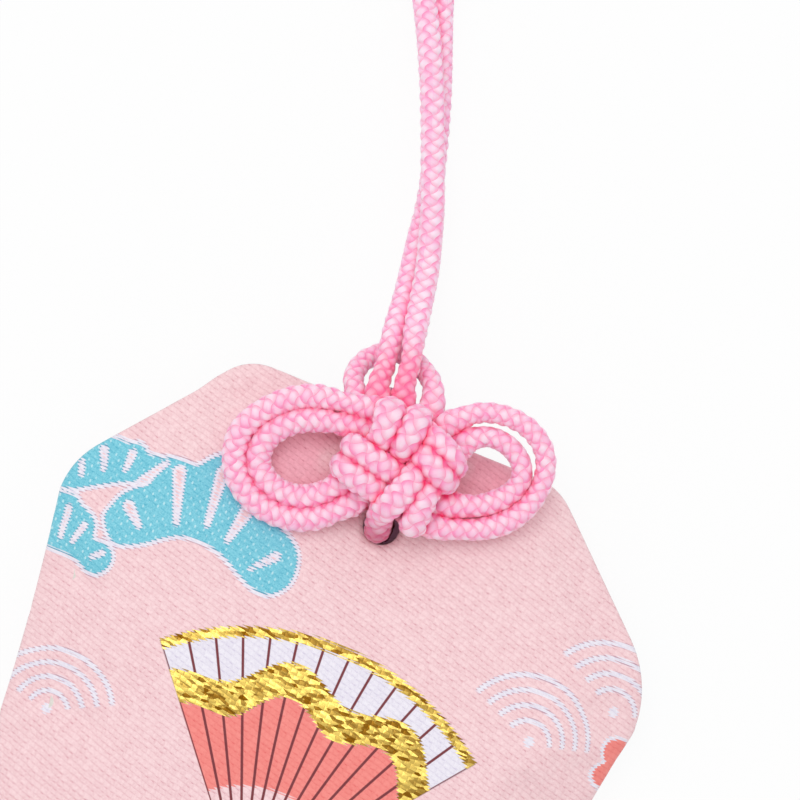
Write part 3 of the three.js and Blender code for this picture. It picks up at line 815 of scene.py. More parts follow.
# %% [markdown]
# ## Panels
# Each panel is a closed shell with the brocade's own thickness, so its cut edge shows round the
# hole and a fine dark line shows along the seam. The flat place of each point is kept on the
# mesh, because the weave and the woven pattern are drawn on the flat cloth.

# %% Make the two panels
BROCADE_THICKNESS = 0.45
FRONT_FILL = 0.55
BACK_FILL = 0.45


def shell_piece(name, outer, inner, cells, walls=(), flipped=False):
    """Closed piece between two nets of the same rings, with a rim and with walls in its hole."""
    rings, count = outer.shape[:2]
    total = rings * count
    first = np.arange(count)
    last = first + total - count
    beside = np.roll(last, -1)
    rim = np.stack([last, last + total, beside + total, beside], axis=1)
    faces = cells.tolist() + (cells[:, ::-1] + total).tolist() + rim.tolist() + list(walls)
    faces += [first.tolist(), (first[::-1] + total).tolist()]
    if flipped:
        faces = [face[::-1] for face in faces]
    return new_piece(name, np.concatenate([outer, inner]).reshape(-1, 3), faces)


def panel(name, outer, facing):
    """Closed shell of one face. facing is 1 for the front and -1 for the back."""
    along_rings = np.gradient(outer, axis=0)
    along_edge = np.roll(outer, -1, axis=1) - np.roll(outer, 1, axis=1)
    normals = np.cross(along_rings, along_edge)
    normals /= np.maximum(np.linalg.norm(normals, axis=2), TINY)[..., None]
    normals *= np.sign(normals[..., 2:].mean()) * facing
    inner = outer - normals * BROCADE_THICKNESS
    seam_face = SEAM_Z + facing * SEAM_GAP / 2
    inner[..., 2] = seam_face + facing * np.maximum(facing * (inner[..., 2] - seam_face), 0)
    total = outer.shape[0] * outer.shape[1]
    hole_wall = [[b, a, a + total, b + total] for a, b in hole_edges]
    return shell_piece(name, outer, inner, cells, hole_wall, flipped=facing < 0)


pouch_front = panel("pouch_front", front, 1)
pouch_back = panel("pouch_back", back, -1)
for piece, node, fill in (
    (pouch_front, "front_panel", FRONT_FILL), (pouch_back, "back_panel", BACK_FILL),
):
    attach(piece, "pouch")
    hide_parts(node)
    print(piece.name, len(piece.data.polygons), "faces")

# %% [markdown]
# ## Woven pattern
# The brocade carries traditional motifs: pine boughs in turquoise with white edges, fans of
# white wave rings, a folding fan and blossoms. The boughs are free shapes, so each point of the
# net keeps its distance to the nearest bough and to the nearest slit between the needles. The
# material then cuts sharp edges out of these smooth distances. The other motifs are circles and
# rays, which the material can draw by itself.

# %% Shapes of the pine boughs
BOUGH_LOBES = [
    [
        (-28.8, 24.2), (-29, 25.8), (-28.6, 27.2), (-27.2, 29), (-25.6, 30.2), (-24.3, 30.6), (-23.3, 30.6),
        (-22.4, 30.9), (-21.8, 30.7), (-21.3, 30.3), (-20.1, 30.4), (-19.4, 29.3), (-20.1, 28),
        (-21.4, 27.4), (-22.8, 26.8), (-24.6, 25.9), (-26.2, 25),
    ],
    [
        (-22.4, 22.8), (-23, 24), (-22.7, 25.2), (-22.2, 26.2), (-21.3, 27.1), (-20.3, 27.9), (-20.3, 29.3),
        (-20.1, 30.4), (-18.5, 30.8), (-17, 30.8), (-16.2, 31.7), (-15.3, 32.4), (-13.4, 32.2),
        (-11.2, 30.6), (-9.2, 28.8), (-7.3, 28), (-6.1, 26.9), (-5.7, 25.5), (-5.8, 24.1), (-6.5, 23.1),
        (-7.3, 22.6), (-8.7, 22.6), (-10.3, 23.3), (-12, 24.2), (-13.4, 24.6), (-14.7, 24.7), (-16, 24.5),
        (-17.3, 23.8), (-18.5, 22.9), (-19.8, 22.2), (-20.8, 21.9), (-21.7, 22.1),
    ],
    [
        (-28.6, 22), (-28.8, 23.8), (-27.2, 24.5), (-26, 24.7), (-25, 24.1), (-23.8, 23.6), (-23.2, 22.9),
        (-22.9, 21.8), (-22, 21.8), (-21.1, 21.4), (-20.7, 20.6), (-20.9, 19.7), (-21.8, 18.9),
        (-22.7, 18.8), (-23.9, 19.3), (-24.9, 19.5), (-26.3, 19.5), (-28, 19.8),
    ],
]
# Each slit between the needles has its two ends and its width at each end.
BOUGH_SLITS = [
    ((-18.2, 29.7), (-16.8, 25.5), 1.1, 0.5), ((-14.7, 30.9), (-14.3, 26.3), 1.05, 0.5),
    ((-11.5, 28.9), (-12.2, 25.7), 1.2, 0.5), ((-21.2, 25.4), (-19.7, 24.1), 1.0, 0.5),
    ((-7.8, 26), (-9.5, 24.2), 0.8, 0.4), ((-25.1, 29.2), (-24.5, 27.6), 0.7, 0.45),
    ((-22.7, 29.8), (-22.7, 28.2), 0.75, 0.45), ((-26.5, 27.5), (-26.1, 26.4), 0.5, 0.4),
    ((-19.5, 30), (-20.9, 27.8), 0.5, 0.9), ((-26.2, 23.4), (-25.9, 20.8), 0.6, 0.4),
    ((-24.2, 22.5), (-24.8, 20.8), 0.6, 0.4), ((-21.8, 20.9), (-22.7, 20.2), 0.5, 0.4),
]
# A bough's place on the cloth: its shift, its turn in degrees, and 1 or -1 for a mirrored one.
FRONT_BOUGHS = [((0, 0), 0, 1), ((1, -4), 180, 1)]
BACK_BOUGHS = [((0, 0), 0, -1), ((0, -12), 180, -1), ((-2, -26), 0, 1)]
LAP = 2
CURVE_SKIP = 4


def closed_curve(points):
    """Smooth closed curve through points."""
    lapped = points[-LAP:] + points + points[:LAP]
    return smooth_line(lapped)[LAP * CURVE_STEPS:-LAP * CURVE_STEPS:CURVE_SKIP]


def distance_to_line(points, first, last):
    """Distance of points to a line, and the share of the way along it."""
    along = last - first
    share = np.clip((points - first) @ along / (along @ along), 0, 1)
    return np.linalg.norm(points - first - share[:, None] * along, axis=1), share


def distance_to_shape(points, shape):
    """Distance of points to a closed shape, negative inside it."""
    nearest = np.full(len(points), np.inf)
    inside = np.zeros(len(points), bool)
    for first, last in zip(shape, np.roll(shape, -1, axis=0)):
        nearest = np.minimum(nearest, distance_to_line(points, first, last)[0])
        if first[1] != last[1]:
            spans = (first[1] > points[:, 1]) != (last[1] > points[:, 1])
            slope = (last[0] - first[0]) / (last[1] - first[1])
            crossing = first[0] + (points[:, 1] - first[1]) * slope
            inside ^= spans & (points[:, 0] < crossing)
    return np.where(inside, -nearest, nearest)


print("lobes of a bough:", len(BOUGH_LOBES), "slits:", len(BOUGH_SLITS))

# %% Distances to the boughs on each panel
FAR_AWAY = 99.0
lobe_shapes = [closed_curve(lobe) for lobe in BOUGH_LOBES]


def unplaced(points, place):
    """Points of the cloth as the bough itself sees them."""
    (shift_x, shift_y), turn, mirror = place
    moved = points - (shift_x, shift_y)
    angle = math.radians(-turn)
    x = moved[:, 0] * math.cos(angle) - moved[:, 1] * math.sin(angle)
    y = moved[:, 0] * math.sin(angle) + moved[:, 1] * math.cos(angle)
    return np.column_stack([mirror * x, y])


def weave_boughs(piece, boughs):
    """Keeps the flat cloth place and the distances to boughs and slits on a panel."""
    cloth = np.tile(flat_points, (2, 1))
    bough = np.full(len(cloth), FAR_AWAY)
    slit = np.full(len(cloth), FAR_AWAY)
    for place in boughs:
        points = unplaced(cloth, place)
        for shape in lobe_shapes:
            bough = np.minimum(bough, distance_to_shape(points, shape))
        for first, last, width_first, width_last in BOUGH_SLITS:
            distance, share = distance_to_line(points, np.array(first), np.array(last))
            half = (width_first + (width_last - width_first) * share) / 2
            slit = np.minimum(slit, distance - half)
    store(piece, "cloth", np.column_stack([cloth, np.zeros(len(cloth))]))
    store(piece, "bough", bough)
    store(piece, "slit", slit)
    print(piece.name, "points inside boughs:", int((bough < 0).sum()))


weave_boughs(pouch_front, FRONT_BOUGHS)
weave_boughs(pouch_back, BACK_BOUGHS)

# %% [markdown]
# Inside a bow the cloth gets most of its light from the pink cord all round it, and this deeper
# pink is painted into its colour as shade. A point is enclosed where the ways to the cord near it
# cancel each other out.

# %% Cloth that the bows enclose
GLOW_REACH = 2.6
GLOW_STEP = 4
GLOW_FROM = 0.3
GLOW_TO = 0.6
GLOW_LEAST = 8
GLOW_FLOOR = 6
GLOW_RANGE = 20


def enclosed_share(points, centres):
    """0 to 1 for each flat point, as the cord beside it lies on one side or all round it."""
    ways = centres[None] - points[:, None]
    sizes = np.maximum(np.linalg.norm(ways, axis=2), TINY)
    weights = bump_at(sizes, 0, GLOW_REACH)
    total = weights.sum(axis=1)
    drawn = np.linalg.norm(np.einsum("pc,pck->pk", weights / sizes, ways), axis=1)
    balance = 1 - drawn / np.maximum(total, TINY)
    return smooth_step(balance, GLOW_FROM, GLOW_TO) * smooth_step(total, 0, GLOW_LEAST)


bow_centres = centres[::GLOW_STEP]
bow_centres = bow_centres[bow_centres[:, 2] > GLOW_FLOOR, :2]
bow_shade = np.zeros(len(flat_points))
near_bows = np.flatnonzero(np.linalg.norm(flat_points - HOLE, axis=1) < GLOW_RANGE)
bow_shade[near_bows] = enclosed_share(flat_points[near_bows], bow_centres)
store(pouch_front, "bow_shade", np.tile(bow_shade, 2))
print("points of the front that the bows enclose:", int((bow_shade > 0.5).sum()))

# %% [markdown]
# ## Shader helpers
# Materials are node trees. These few helpers add a node, link or set its inputs and hand back
# its output, so that the recipes below read like sums.

# %% Node helpers
SRGB_KNEE = 0.04045
SRGB_SLOPE = 12.92
SRGB_OFFSET = 0.055
SRGB_POWER = 2.4


def srgb(red, green, blue):
    """A colour as a picture shows it, 0 to 255, in the linear values that shaders use."""
    shown = np.array([red, green, blue]) / 255
    curved = ((shown + SRGB_OFFSET) / (1 + SRGB_OFFSET)) ** SRGB_POWER
    return (*np.where(shown <= SRGB_KNEE, shown / SRGB_SLOPE, curved), 1)


def feed(tree, socket, value):
    """Links a socket to a node's output, or sets it to a plain value."""
    if isinstance(value, bpy.types.NodeSocket):
        tree.links.new(value, socket)
    else:
        socket.default_value = value


def maths(tree, operation, *values):
    node = tree.nodes.new("ShaderNodeMath")
    node.operation = operation
    for socket, value in zip(node.inputs, values):
        feed(tree, socket, value)
    return node.outputs[0]


def below(tree, value, edge, softness):
    """1 where the value is below the edge and 0 above it, with a soft border."""
    node = tree.nodes.new("ShaderNodeMapRange")
    node.interpolation_type = "SMOOTHSTEP"
    feed(tree, node.inputs["Value"], value)
    node.inputs["From Min"].default_value = edge - softness
    node.inputs["From Max"].default_value = edge + softness
    node.inputs["To Min"].default_value = 1
    node.inputs["To Max"].default_value = 0
    return node.outputs["Result"]


def above(tree, value, edge, softness):
    """Mask that is 1 where a value is above an edge."""
    return maths(tree, "SUBTRACT", 1, below(tree, value, edge, softness))


def square_of(tree, x, y):
    return maths(tree, "ADD", maths(tree, "MULTIPLY", x, x), maths(tree, "MULTIPLY", y, y))


def length_of(tree, x, y):
    return maths(tree, "SQRT", square_of(tree, x, y))


def mixed(tree, share, first, second):
    """Colour that goes from the first to the second as the share goes from 0 to 1."""
    node = tree.nodes.new("ShaderNodeMix")
    node.data_type = "RGBA"
    feed(tree, node.inputs[0], share)
    feed(tree, node.inputs[6], first)
    feed(tree, node.inputs[7], second)
    return node.outputs[2]


def tinted(tree, share, colour, tint):
    """A colour with painted light and shade from a coloured thing beside it, as a multiplied tint."""
    result = mixed(tree, share, colour, tint)
    result.node.blend_type = "MULTIPLY"
    return result


print("a colour in shader values:", np.round(srgb(128, 128, 128), 3))

# %% [markdown]
# What several materials share goes into a node group. A group here takes a place on the surface
# as a vector and some plain numbers, and puts out plain numbers: masks, heights and chances.

# %% Helpers for groups
def new_group(name, place, numbers, outputs):
    """An empty shader node group, with its input and output nodes."""
    group = bpy.data.node_groups.new(name, "ShaderNodeTree")
    group.interface.new_socket(place, in_out="INPUT", socket_type="NodeSocketVector")
    for title in numbers:
        group.interface.new_socket(title, in_out="INPUT", socket_type="NodeSocketFloat")
    for title in outputs:
        group.interface.new_socket(title, in_out="OUTPUT", socket_type="NodeSocketFloat")
    given = group.nodes.new("NodeGroupInput").outputs
    return group, given, group.nodes.new("NodeGroupOutput").inputs


def placed(tree, group, **values):
    """Places a group in a material or another group and returns its outputs."""
    node = tree.nodes.new("ShaderNodeGroup")
    node.node_tree = group
    for title, value in values.items():
        feed(tree, node.inputs[title.replace("_", " ")], value)
    return node.outputs


def attribute(tree, name, output):
    node = tree.nodes.new("ShaderNodeAttribute")
    node.attribute_name = name
    return node.outputs[output]


def split(tree, vector):
    node = tree.nodes.new("ShaderNodeSeparateXYZ")
    feed(tree, node.inputs[0], vector)
    return node.outputs


def joined(tree, x, y, z=0):
    node = tree.nodes.new("ShaderNodeCombineXYZ")
    for socket, value in zip(node.inputs, (x, y, z)):
        feed(tree, socket, value)
    return node.outputs[0]


def noise(tree, vector, scale, detail=2):
    node = tree.nodes.new("ShaderNodeTexNoise")
    feed(tree, node.inputs["Vector"], vector)
    node.inputs["Scale"].default_value = scale
    node.inputs["Detail"].default_value = detail
    return node.outputs["Fac"]


def chance_at(tree, x, y):
    """A chance number, 0 to 1, that is the same all over one cell of a pattern."""
    node = tree.nodes.new("ShaderNodeTexWhiteNoise")
    node.noise_dimensions = "2D"
    feed(tree, node.inputs["Vector"], joined(tree, x, y))
    return node.outputs["Value"]


print("group helpers ready")

# %% Helpers for materials
def new_material(name):
    """A material with a Principled shader, its tree and the shader's inputs."""
    material = bpy.data.materials.new(name)
    material.use_nodes = True
    tree = material.node_tree
    return material, tree, tree.nodes["Principled BSDF"].inputs


def soften(tree, shader, weight, spread, distance):
    """Lets light seep a short way under the surface, as it does in fine threads."""
    tree.nodes["Principled BSDF"].subsurface_method = "BURLEY"
    shader["Subsurface Weight"].default_value = weight
    shader["Subsurface Radius"].default_value = spread
    shader["Subsurface Scale"].default_value = distance


def bump(tree, height, strength, distance):
    node = tree.nodes.new("ShaderNodeBump")
    feed(tree, node.inputs["Height"], height)
    node.inputs["Strength"].default_value = strength
    node.inputs["Distance"].default_value = distance
    return node.outputs["Normal"]


print("material helpers ready")

# %% [markdown]
# ## Weave
# Brocade is woven in rows of short floating threads. The rows lie about half a millimetre apart
# and slant a little across the bag. Between two rows, short dark strokes show where a thread dips
# under the next, and the strokes of one row are shifted against those of the row before. No loom
# weaves quite evenly, so a slow noise bends the rows a little.

# %% Weave group
ROW_LEAN = 0.28
ROW_WANDER = 0.3
WANDER_SCALE = 0.45
ROW_SHAKE = 0.2
FLOAT_SHIFT = 0.67
ROW_ROUNDNESS = 0.6
FLOAT_ROUNDNESS = 0.3
TOOTH_PERIOD = 0.28
# Edge and softness of a dark stroke: across its row, at its start and at its end.
STROKE_ACROSS = (0.17, 0.15)
STROKE_START = (0.45, 0.4)
STROKE_END = (0.9, 0.1)
STROKE_LEAST = 0.35
STROKE_VARIES = 0.65

weave, given, result = new_group("weave", "Cloth", ["Row", "Float"], ["Height", "Stroke", "Thread", "Tooth"])


def humps(value, roundness):
    """A row of round humps, one for each whole number."""
    swing = maths(weave, "SINE", maths(weave, "MULTIPLY", value, math.pi))
    return maths(weave, "POWER", maths(weave, "ABSOLUTE", swing), roundness)


x, y, _ = split(weave, given["Cloth"])
wander = maths(weave, "SUBTRACT", noise(weave, given["Cloth"], WANDER_SCALE), 0.5)
level = maths(weave, "MULTIPLY_ADD", wander, ROW_WANDER, maths(weave, "MULTIPLY_ADD", x, ROW_LEAN, y))
rows = maths(weave, "DIVIDE", level, given["Row"])
row = maths(weave, "FLOOR", rows)
floats = maths(weave, "MULTIPLY_ADD", row, FLOAT_SHIFT, maths(weave, "DIVIDE", x, given["Float"]))
chance = chance_at(weave, row, maths(weave, "FLOOR", floats))
feed(weave, result["Thread"], chance)
swell = maths(weave, "MULTIPLY", humps(rows, ROW_ROUNDNESS), humps(floats, FLOAT_ROUNDNESS))
feed(weave, result["Height"], swell)
shaken = maths(weave, "MULTIPLY_ADD", chance, ROW_SHAKE, rows)
dip = below(weave, maths(weave, "FRACT", shaken), *STROKE_ACROSS)
reach = maths(weave, "FRACT", floats)
reach = maths(weave, "MULTIPLY", above(weave, reach, *STROKE_START), below(weave, reach, *STROKE_END))
strength = maths(weave, "MULTIPLY_ADD", chance, STROKE_VARIES, STROKE_LEAST)
stroke = maths(weave, "MULTIPLY", maths(weave, "MULTIPLY", dip, reach), strength)
feed(weave, result["Stroke"], stroke)
teeth = maths(weave, "PINGPONG", y, TOOTH_PERIOD / 2)
teeth = maths(weave, "DIVIDE", teeth, TOOTH_PERIOD / 2)
feed(weave, result["Tooth"], maths(weave, "SUBTRACT", teeth, 0.5))
print(weave.name, "nodes:", len(weave.nodes))

# %% [markdown]
# ## Motif groups
# A wave is a fan of four rings and a dot. A folding fan is a slice of rings and rays about its
# pivot. A blossom is a circle with five soft lobes. They are woven in and lie flush with the
# cloth, so no mesh is needed: each group puts out masks of its parts, for any place on the cloth.

# %% Wave group
WAVE_GAP = 1.25
WAVE_LINE = 0.2
WAVE_TEETH = 0.24
WAVE_SINK = 0.25
WAVE_SOFT = 0.05
WAVE_LAST_RING = 3.5
WAVE_BRIM = 0.3
WAVE_END_SOFT = 0.03
DOT_RADIUS = 0.43
DOT_SOFT = 0.08
STITCH_WIDTH = 0.12
STITCH_SOFT = 0.04

wave, given, result = new_group(
    "wave_rings", "Cloth", ["Centre X", "Centre Y", "Radius", "Lean", "From", "To", "Tooth"],
    ["Line", "Stitch"],
)
x, y, _ = split(wave, given["Cloth"])
right = maths(wave, "SUBTRACT", x, given["Centre X"])
up = maths(wave, "SUBTRACT", y, given["Centre Y"])
from_dot = length_of(wave, right, up)
lean = maths(wave, "DIVIDE", maths(wave, "MULTIPLY", given["Lean"], from_dot), given["Radius"])
right = maths(wave, "SUBTRACT", right, lean)
up = maths(wave, "ADD", up, WAVE_SINK)
away = length_of(wave, right, up)
ring = maths(wave, "DIVIDE", maths(wave, "SUBTRACT", given["Radius"], away), WAVE_GAP)
near = maths(wave, "MULTIPLY", maths(wave, "PINGPONG", ring, 0.5), WAVE_GAP)
near = maths(wave, "MULTIPLY_ADD", given["Tooth"], WAVE_TEETH, near)
angle = maths(wave, "ARCTAN2", up, right)
past = maths(wave, "SUBTRACT", angle, given["To"])
begun = maths(wave, "SUBTRACT", angle, given["From"])
shown = below(wave, ring, WAVE_LAST_RING, WAVE_SOFT)
for limit in (
    above(wave, ring, -WAVE_BRIM, WAVE_SOFT), below(wave, past, 0, WAVE_END_SOFT),
    above(wave, begun, 0, WAVE_END_SOFT),
):
    shown = maths(wave, "MULTIPLY", shown, limit)
line = maths(wave, "MULTIPLY", below(wave, near, WAVE_LINE, WAVE_SOFT), shown)
near_dot = maths(wave, "MULTIPLY_ADD", given["Tooth"], WAVE_TEETH, from_dot)
dot = below(wave, near_dot, DOT_RADIUS, DOT_SOFT)
feed(wave, result["Line"], maths(wave, "MAXIMUM", line, dot))
beside = maths(wave, "SUBTRACT", below(wave, near, WAVE_LINE + STITCH_WIDTH, STITCH_SOFT), line)
feed(wave, result["Stitch"], maths(wave, "MULTIPLY", beside, shown))
print(wave.name, "nodes:", len(wave.nodes))

# %% Folding fan group
FAN_OUTER = 23
FAN_INNER = 9.5
FAN_HALF_ANGLE = math.radians(39)
FAN_RIBS = 13
FAN_EDGE = 0.9
FAN_TEETH = 0.3
FAN_SOFT = 0.06
FAN_SIDE_SOFT = 0.004
BAND_OUTER = 19.4
BAND_INNER = 16.4
BAND_WAVES = 11
RIB_WIDTH = 1.1
RIB_SOFT = 0.35

fan, given, result = new_group(
    "folding_fan", "Cloth", ["Pivot X", "Pivot Y", "Tooth"], ["Leaf", "Gold", "Coral", "Rib"]
)
x, y, _ = split(fan, given["Cloth"])
right = maths(fan, "SUBTRACT", x, given["Pivot X"])
up = maths(fan, "SUBTRACT", y, given["Pivot Y"])
away = maths(fan, "MULTIPLY_ADD", given["Tooth"], FAN_TEETH, length_of(fan, right, up))
angle = maths(fan, "ARCTAN2", right, up)
fold = maths(fan, "DIVIDE", maths(fan, "ADD", angle, FAN_HALF_ANGLE), 2 * FAN_HALF_ANGLE / FAN_RIBS)
between_sides = below(fan, maths(fan, "ABSOLUTE", angle), FAN_HALF_ANGLE, FAN_SIDE_SOFT)
inside = maths(fan, "MULTIPLY", below(fan, away, FAN_OUTER, FAN_SOFT), between_sides)
leaf = maths(fan, "MULTIPLY", inside, above(fan, away, FAN_INNER, FAN_SOFT))
feed(fan, result["Leaf"], leaf)
edge = above(fan, away, FAN_OUTER - FAN_EDGE, FAN_SOFT)
wavy = maths(fan, "ADD", maths(fan, "SINE", maths(fan, "MULTIPLY", angle, BAND_WAVES)), away)
under_band = below(fan, wavy, BAND_INNER, FAN_SOFT)
band = maths(fan, "SUBTRACT", below(fan, wavy, BAND_OUTER, FAN_SOFT), under_band)
feed(fan, result["Gold"], maths(fan, "MULTIPLY", leaf, maths(fan, "MAXIMUM", edge, band)))
feed(fan, result["Coral"], maths(fan, "MULTIPLY", leaf, under_band))
crease = maths(fan, "MULTIPLY", maths(fan, "PINGPONG", fold, 0.5), away)
feed(fan, result["Rib"], maths(fan, "MULTIPLY", inside, below(fan, crease, RIB_WIDTH, RIB_SOFT)))
print(fan.name, "nodes:", len(fan.nodes))

# %% Blossom group
PETALS = 5
PETAL_DEPTH = 0.3
PETAL_INSET = 0.35
BLOSSOM_TEETH = 0.25
BLOSSOM_SOFT = 0.05
HEART_SHARE = 0.36
HEART_SOFT = 0.02

blossom, given, result = new_group(
    "blossom", "Cloth", ["Centre X", "Centre Y", "Radius", "Tooth"], ["Petals", "Outline", "Heart"]
)
x, y, _ = split(blossom, given["Cloth"])
right = maths(blossom, "SUBTRACT", x, given["Centre X"])
up = maths(blossom, "SUBTRACT", y, given["Centre Y"])
away = length_of(blossom, right, up)
turned = maths(blossom, "MULTIPLY", maths(blossom, "ARCTAN2", up, right), PETALS / 2)
lobe = maths(blossom, "ABSOLUTE", maths(blossom, "COSINE", turned))
reach = maths(blossom, "MULTIPLY_ADD", lobe, PETAL_DEPTH, 1 - PETAL_DEPTH)
past = maths(blossom, "SUBTRACT", away, maths(blossom, "MULTIPLY", given["Radius"], reach))
past = maths(blossom, "MULTIPLY_ADD", given["Tooth"], BLOSSOM_TEETH, past)
feed(blossom, result["Petals"], below(blossom, past, -PETAL_INSET, BLOSSOM_SOFT))
feed(blossom, result["Outline"], below(blossom, past, 0, BLOSSOM_SOFT))
inward = maths(blossom, "DIVIDE", away, given["Radius"])
feed(blossom, result["Heart"], below(blossom, inward, HEART_SHARE, HEART_SOFT))
print(blossom.name, "nodes:", len(blossom.nodes))

# %% [markdown]
# ## Brocade
# One recipe makes the material of both panels. The ground is pale pink. White weft draws the
# waves and edges, turquoise weft fills the boughs with small white flecks, and flat metal
# thread makes the gold, where each short float tilts its own way and glitters, partly by a
# painted glint.

# %% Colours and motifs of the brocade
PINK = srgb(254, 221, 224)
PINK_DEEP = srgb(216, 150, 162)
WHITE_WEFT = srgb(245, 241, 250)
WHITE_DEEP = srgb(206, 196, 222)
TURQUOISE = srgb(134, 213, 230)
TURQUOISE_DEEP = srgb(72, 176, 202)
FLECK = srgb(206, 242, 248)
CORAL = srgb(252, 146, 138)
CORAL_DEEP = srgb(230, 98, 98)
MAROON = srgb(120, 44, 52)
GOLD_DARK = srgb(120, 78, 10)
GOLD_BRIGHT = srgb(255, 226, 120)
STITCH = srgb(160, 120, 150)
TEAL_STITCH = srgb(76, 116, 156)
# Painted shade inside the bows: the tint that the cloth's colour is multiplied by.
BOW_SHADE_TINT = (1, 0.75, 0.83, 1)
# A wave's dot, its radius and lean, and the angles where its rings start and end, in degrees.
FRONT_WAVES = [
    (-21.8, 6.65, 5.6, 0.6, 29, 168),
    (18, 19.2, 5.75, -0.5, 12, 153),
    (24.15, 24.2, 5.9, -0.9, 12, 147),
    (-17, -22, 5.75, 0.4, 12, 153),
    (-22.5, -17, 5.5, 0.4, 12, 153),
    (19, -6, 5.75, -0.4, 12, 153),
]
BACK_WAVES = [
    (19, 8, 5.75, -0.4, 12, 153),
    (24, 3, 5.5, -0.4, 12, 153),
    (-18, -8, 5.75, 0.4, 12, 153),
    (-12, 20, 5.75, 0.4, 12, 153),
    (14, -30, 5.75, -0.4, 12, 153),
]
# A blossom's centre and radius, and a fan's pivot.
FRONT_BLOSSOMS = [(27.2, 19.9, 3.4), (-8, -30, 4.2), (10, -27, 3.6)]
BACK_BLOSSOMS = [(6, 14, 4), (-14, -30, 4), (-2, -4, 4.4)]
FRONT_FANS = [(0, -2)]
BACK_FANS = []
print("waves:", len(FRONT_WAVES), "in front,", len(BACK_WAVES), "behind")

# %% [markdown]
# A bough is turquoise with a white edge. Where the weft turns back at an edge, small dark stitches
# show between its teeth. White flecks stand in staggered rows on the turquoise, in patches, and
# the slits between the needles are open to the ground. The metal thread is flat foil, cut by a
# pattern of cells into short floats that are each a little brighter or darker than the next, partly
# in their own tone and partly as a painted glint.

# %% Boughs and metal thread
TEETH = 0.24
STITCH_SHARE = 0.7
NOTCH = 0.15
MOTIF_SOFT = 0.05
BOUGH_EDGE = 0.18
BOUGH_FILL = 0.16
SLIT_EDGE = 0.04
SLIT_OPEN = 0.26
FLECK_RISE = 0.42
FLECK_GAP = 0.8
FLECK_WIDTH = 0.1
FLECK_LENGTH = 0.16
FLECK_SHARE = 0.75
FLECK_ROUND = (0.7, 0.5)
FLECK_PATCH_SCALE = 1.1
FLECK_PATCH = (0.52, 0.12)
FOIL_ACROSS = 1.3
FOIL_ALONG = 3.6
FOIL_CONTRAST = 1.3
FOIL_TILT = 2


def bough_flecks(tree, cloth):
    """Mask of small upright flecks in staggered rows, in patches here and there."""
    x, y, _ = split(tree, cloth)
    step = maths(tree, "DIVIDE", y, FLECK_RISE)
    across = maths(tree, "DIVIDE", x, FLECK_GAP)
    across = maths(tree, "MULTIPLY_ADD", maths(tree, "FLOOR", step), 0.5, across)
    right = maths(tree, "SUBTRACT", maths(tree, "FRACT", across), 0.5)
    right = maths(tree, "MULTIPLY", right, FLECK_GAP / FLECK_WIDTH)
    up = maths(tree, "SUBTRACT", maths(tree, "FRACT", step), 0.5)
    up = maths(tree, "MULTIPLY", up, FLECK_RISE / FLECK_LENGTH)
    patch = below(tree, noise(tree, cloth, FLECK_PATCH_SCALE), *FLECK_PATCH)
    return maths(tree, "MULTIPLY", below(tree, square_of(tree, right, up), *FLECK_ROUND), patch)


def with_boughs(tree, colour, white, teal, cloth, tooth, notch):
    """Lays boughs, their white edges, their flecks and their slits over a colour."""
    near = maths(tree, "MULTIPLY_ADD", tooth, TEETH, attribute(tree, "bough", "Fac"))
    gap = maths(tree, "MULTIPLY_ADD", tooth, TEETH, attribute(tree, "slit", "Fac"))
    edge = below(tree, near, BOUGH_EDGE, MOTIF_SOFT)
    body = below(tree, near, -BOUGH_FILL, MOTIF_SOFT)
    flecks = maths(tree, "MULTIPLY", bough_flecks(tree, cloth), FLECK_SHARE)
    filled = mixed(tree, flecks, teal, FLECK)
    tips = maths(tree, "MULTIPLY", below(tree, tooth, -NOTCH, NOTCH), STITCH_SHARE)
    inner = maths(tree, "SUBTRACT", body, below(tree, near, -BOUGH_FILL - STITCH_WIDTH, STITCH_SOFT))
    filled = mixed(tree, maths(tree, "MULTIPLY", inner, tips), filled, TEAL_STITCH)
    outer = below(tree, gap, SLIT_EDGE + STITCH_WIDTH, STITCH_SOFT)
    filled = mixed(tree, maths(tree, "MULTIPLY", outer, notch), filled, TEAL_STITCH)
    filled = mixed(tree, below(tree, gap, SLIT_EDGE, MOTIF_SOFT), filled, white)
    filled = mixed(tree, below(tree, gap, -SLIT_OPEN, MOTIF_SOFT), filled, colour)
    beside = maths(tree, "SUBTRACT", below(tree, near, BOUGH_EDGE + STITCH_WIDTH, STITCH_SOFT), edge)
    edged = mixed(tree, maths(tree, "MULTIPLY", beside, notch), colour, STITCH)
    edged = mixed(tree, edge, edged, white)
    return mixed(tree, body, edged, filled), body


def metal_thread(tree, cloth):
    """Colour and tilt of flat metal thread: each short float tilts its own way, and its colour is brighter
    or darker at random, partly the foil's own tone and partly a painted glint.
    """
    x, y, _ = split(tree, cloth)
    across = maths(tree, "MULTIPLY", x, FOIL_ACROSS)
    cells = tree.nodes.new("ShaderNodeTexVoronoi")
    feed(tree, cells.inputs["Vector"], joined(tree, across, maths(tree, "MULTIPLY", y, FOIL_ALONG)))
    cells.inputs["Scale"].default_value = 1
    chance = split(tree, cells.outputs["Color"])[0]
    # Partly the foil's own tone, partly a painted glint.
    tone_and_glint = maths(tree, "POWER", chance, FOIL_CONTRAST)
    return mixed(tree, tone_and_glint, GOLD_DARK, GOLD_BRIGHT), maths(tree, "MULTIPLY", chance, FOIL_TILT)


print("flecks stand", FLECK_GAP, "mm apart in rows of", FLECK_RISE, "mm")

# %% [markdown]
# The panels' material lays these colours over each other in the order in which the weft covers
# them: the ground, the waves, the blossoms, the fan and last the boughs. The weave's strokes, its
# dips, with painted shade, and its chances darken every colour alike, so that all of it reads as
# one cloth.

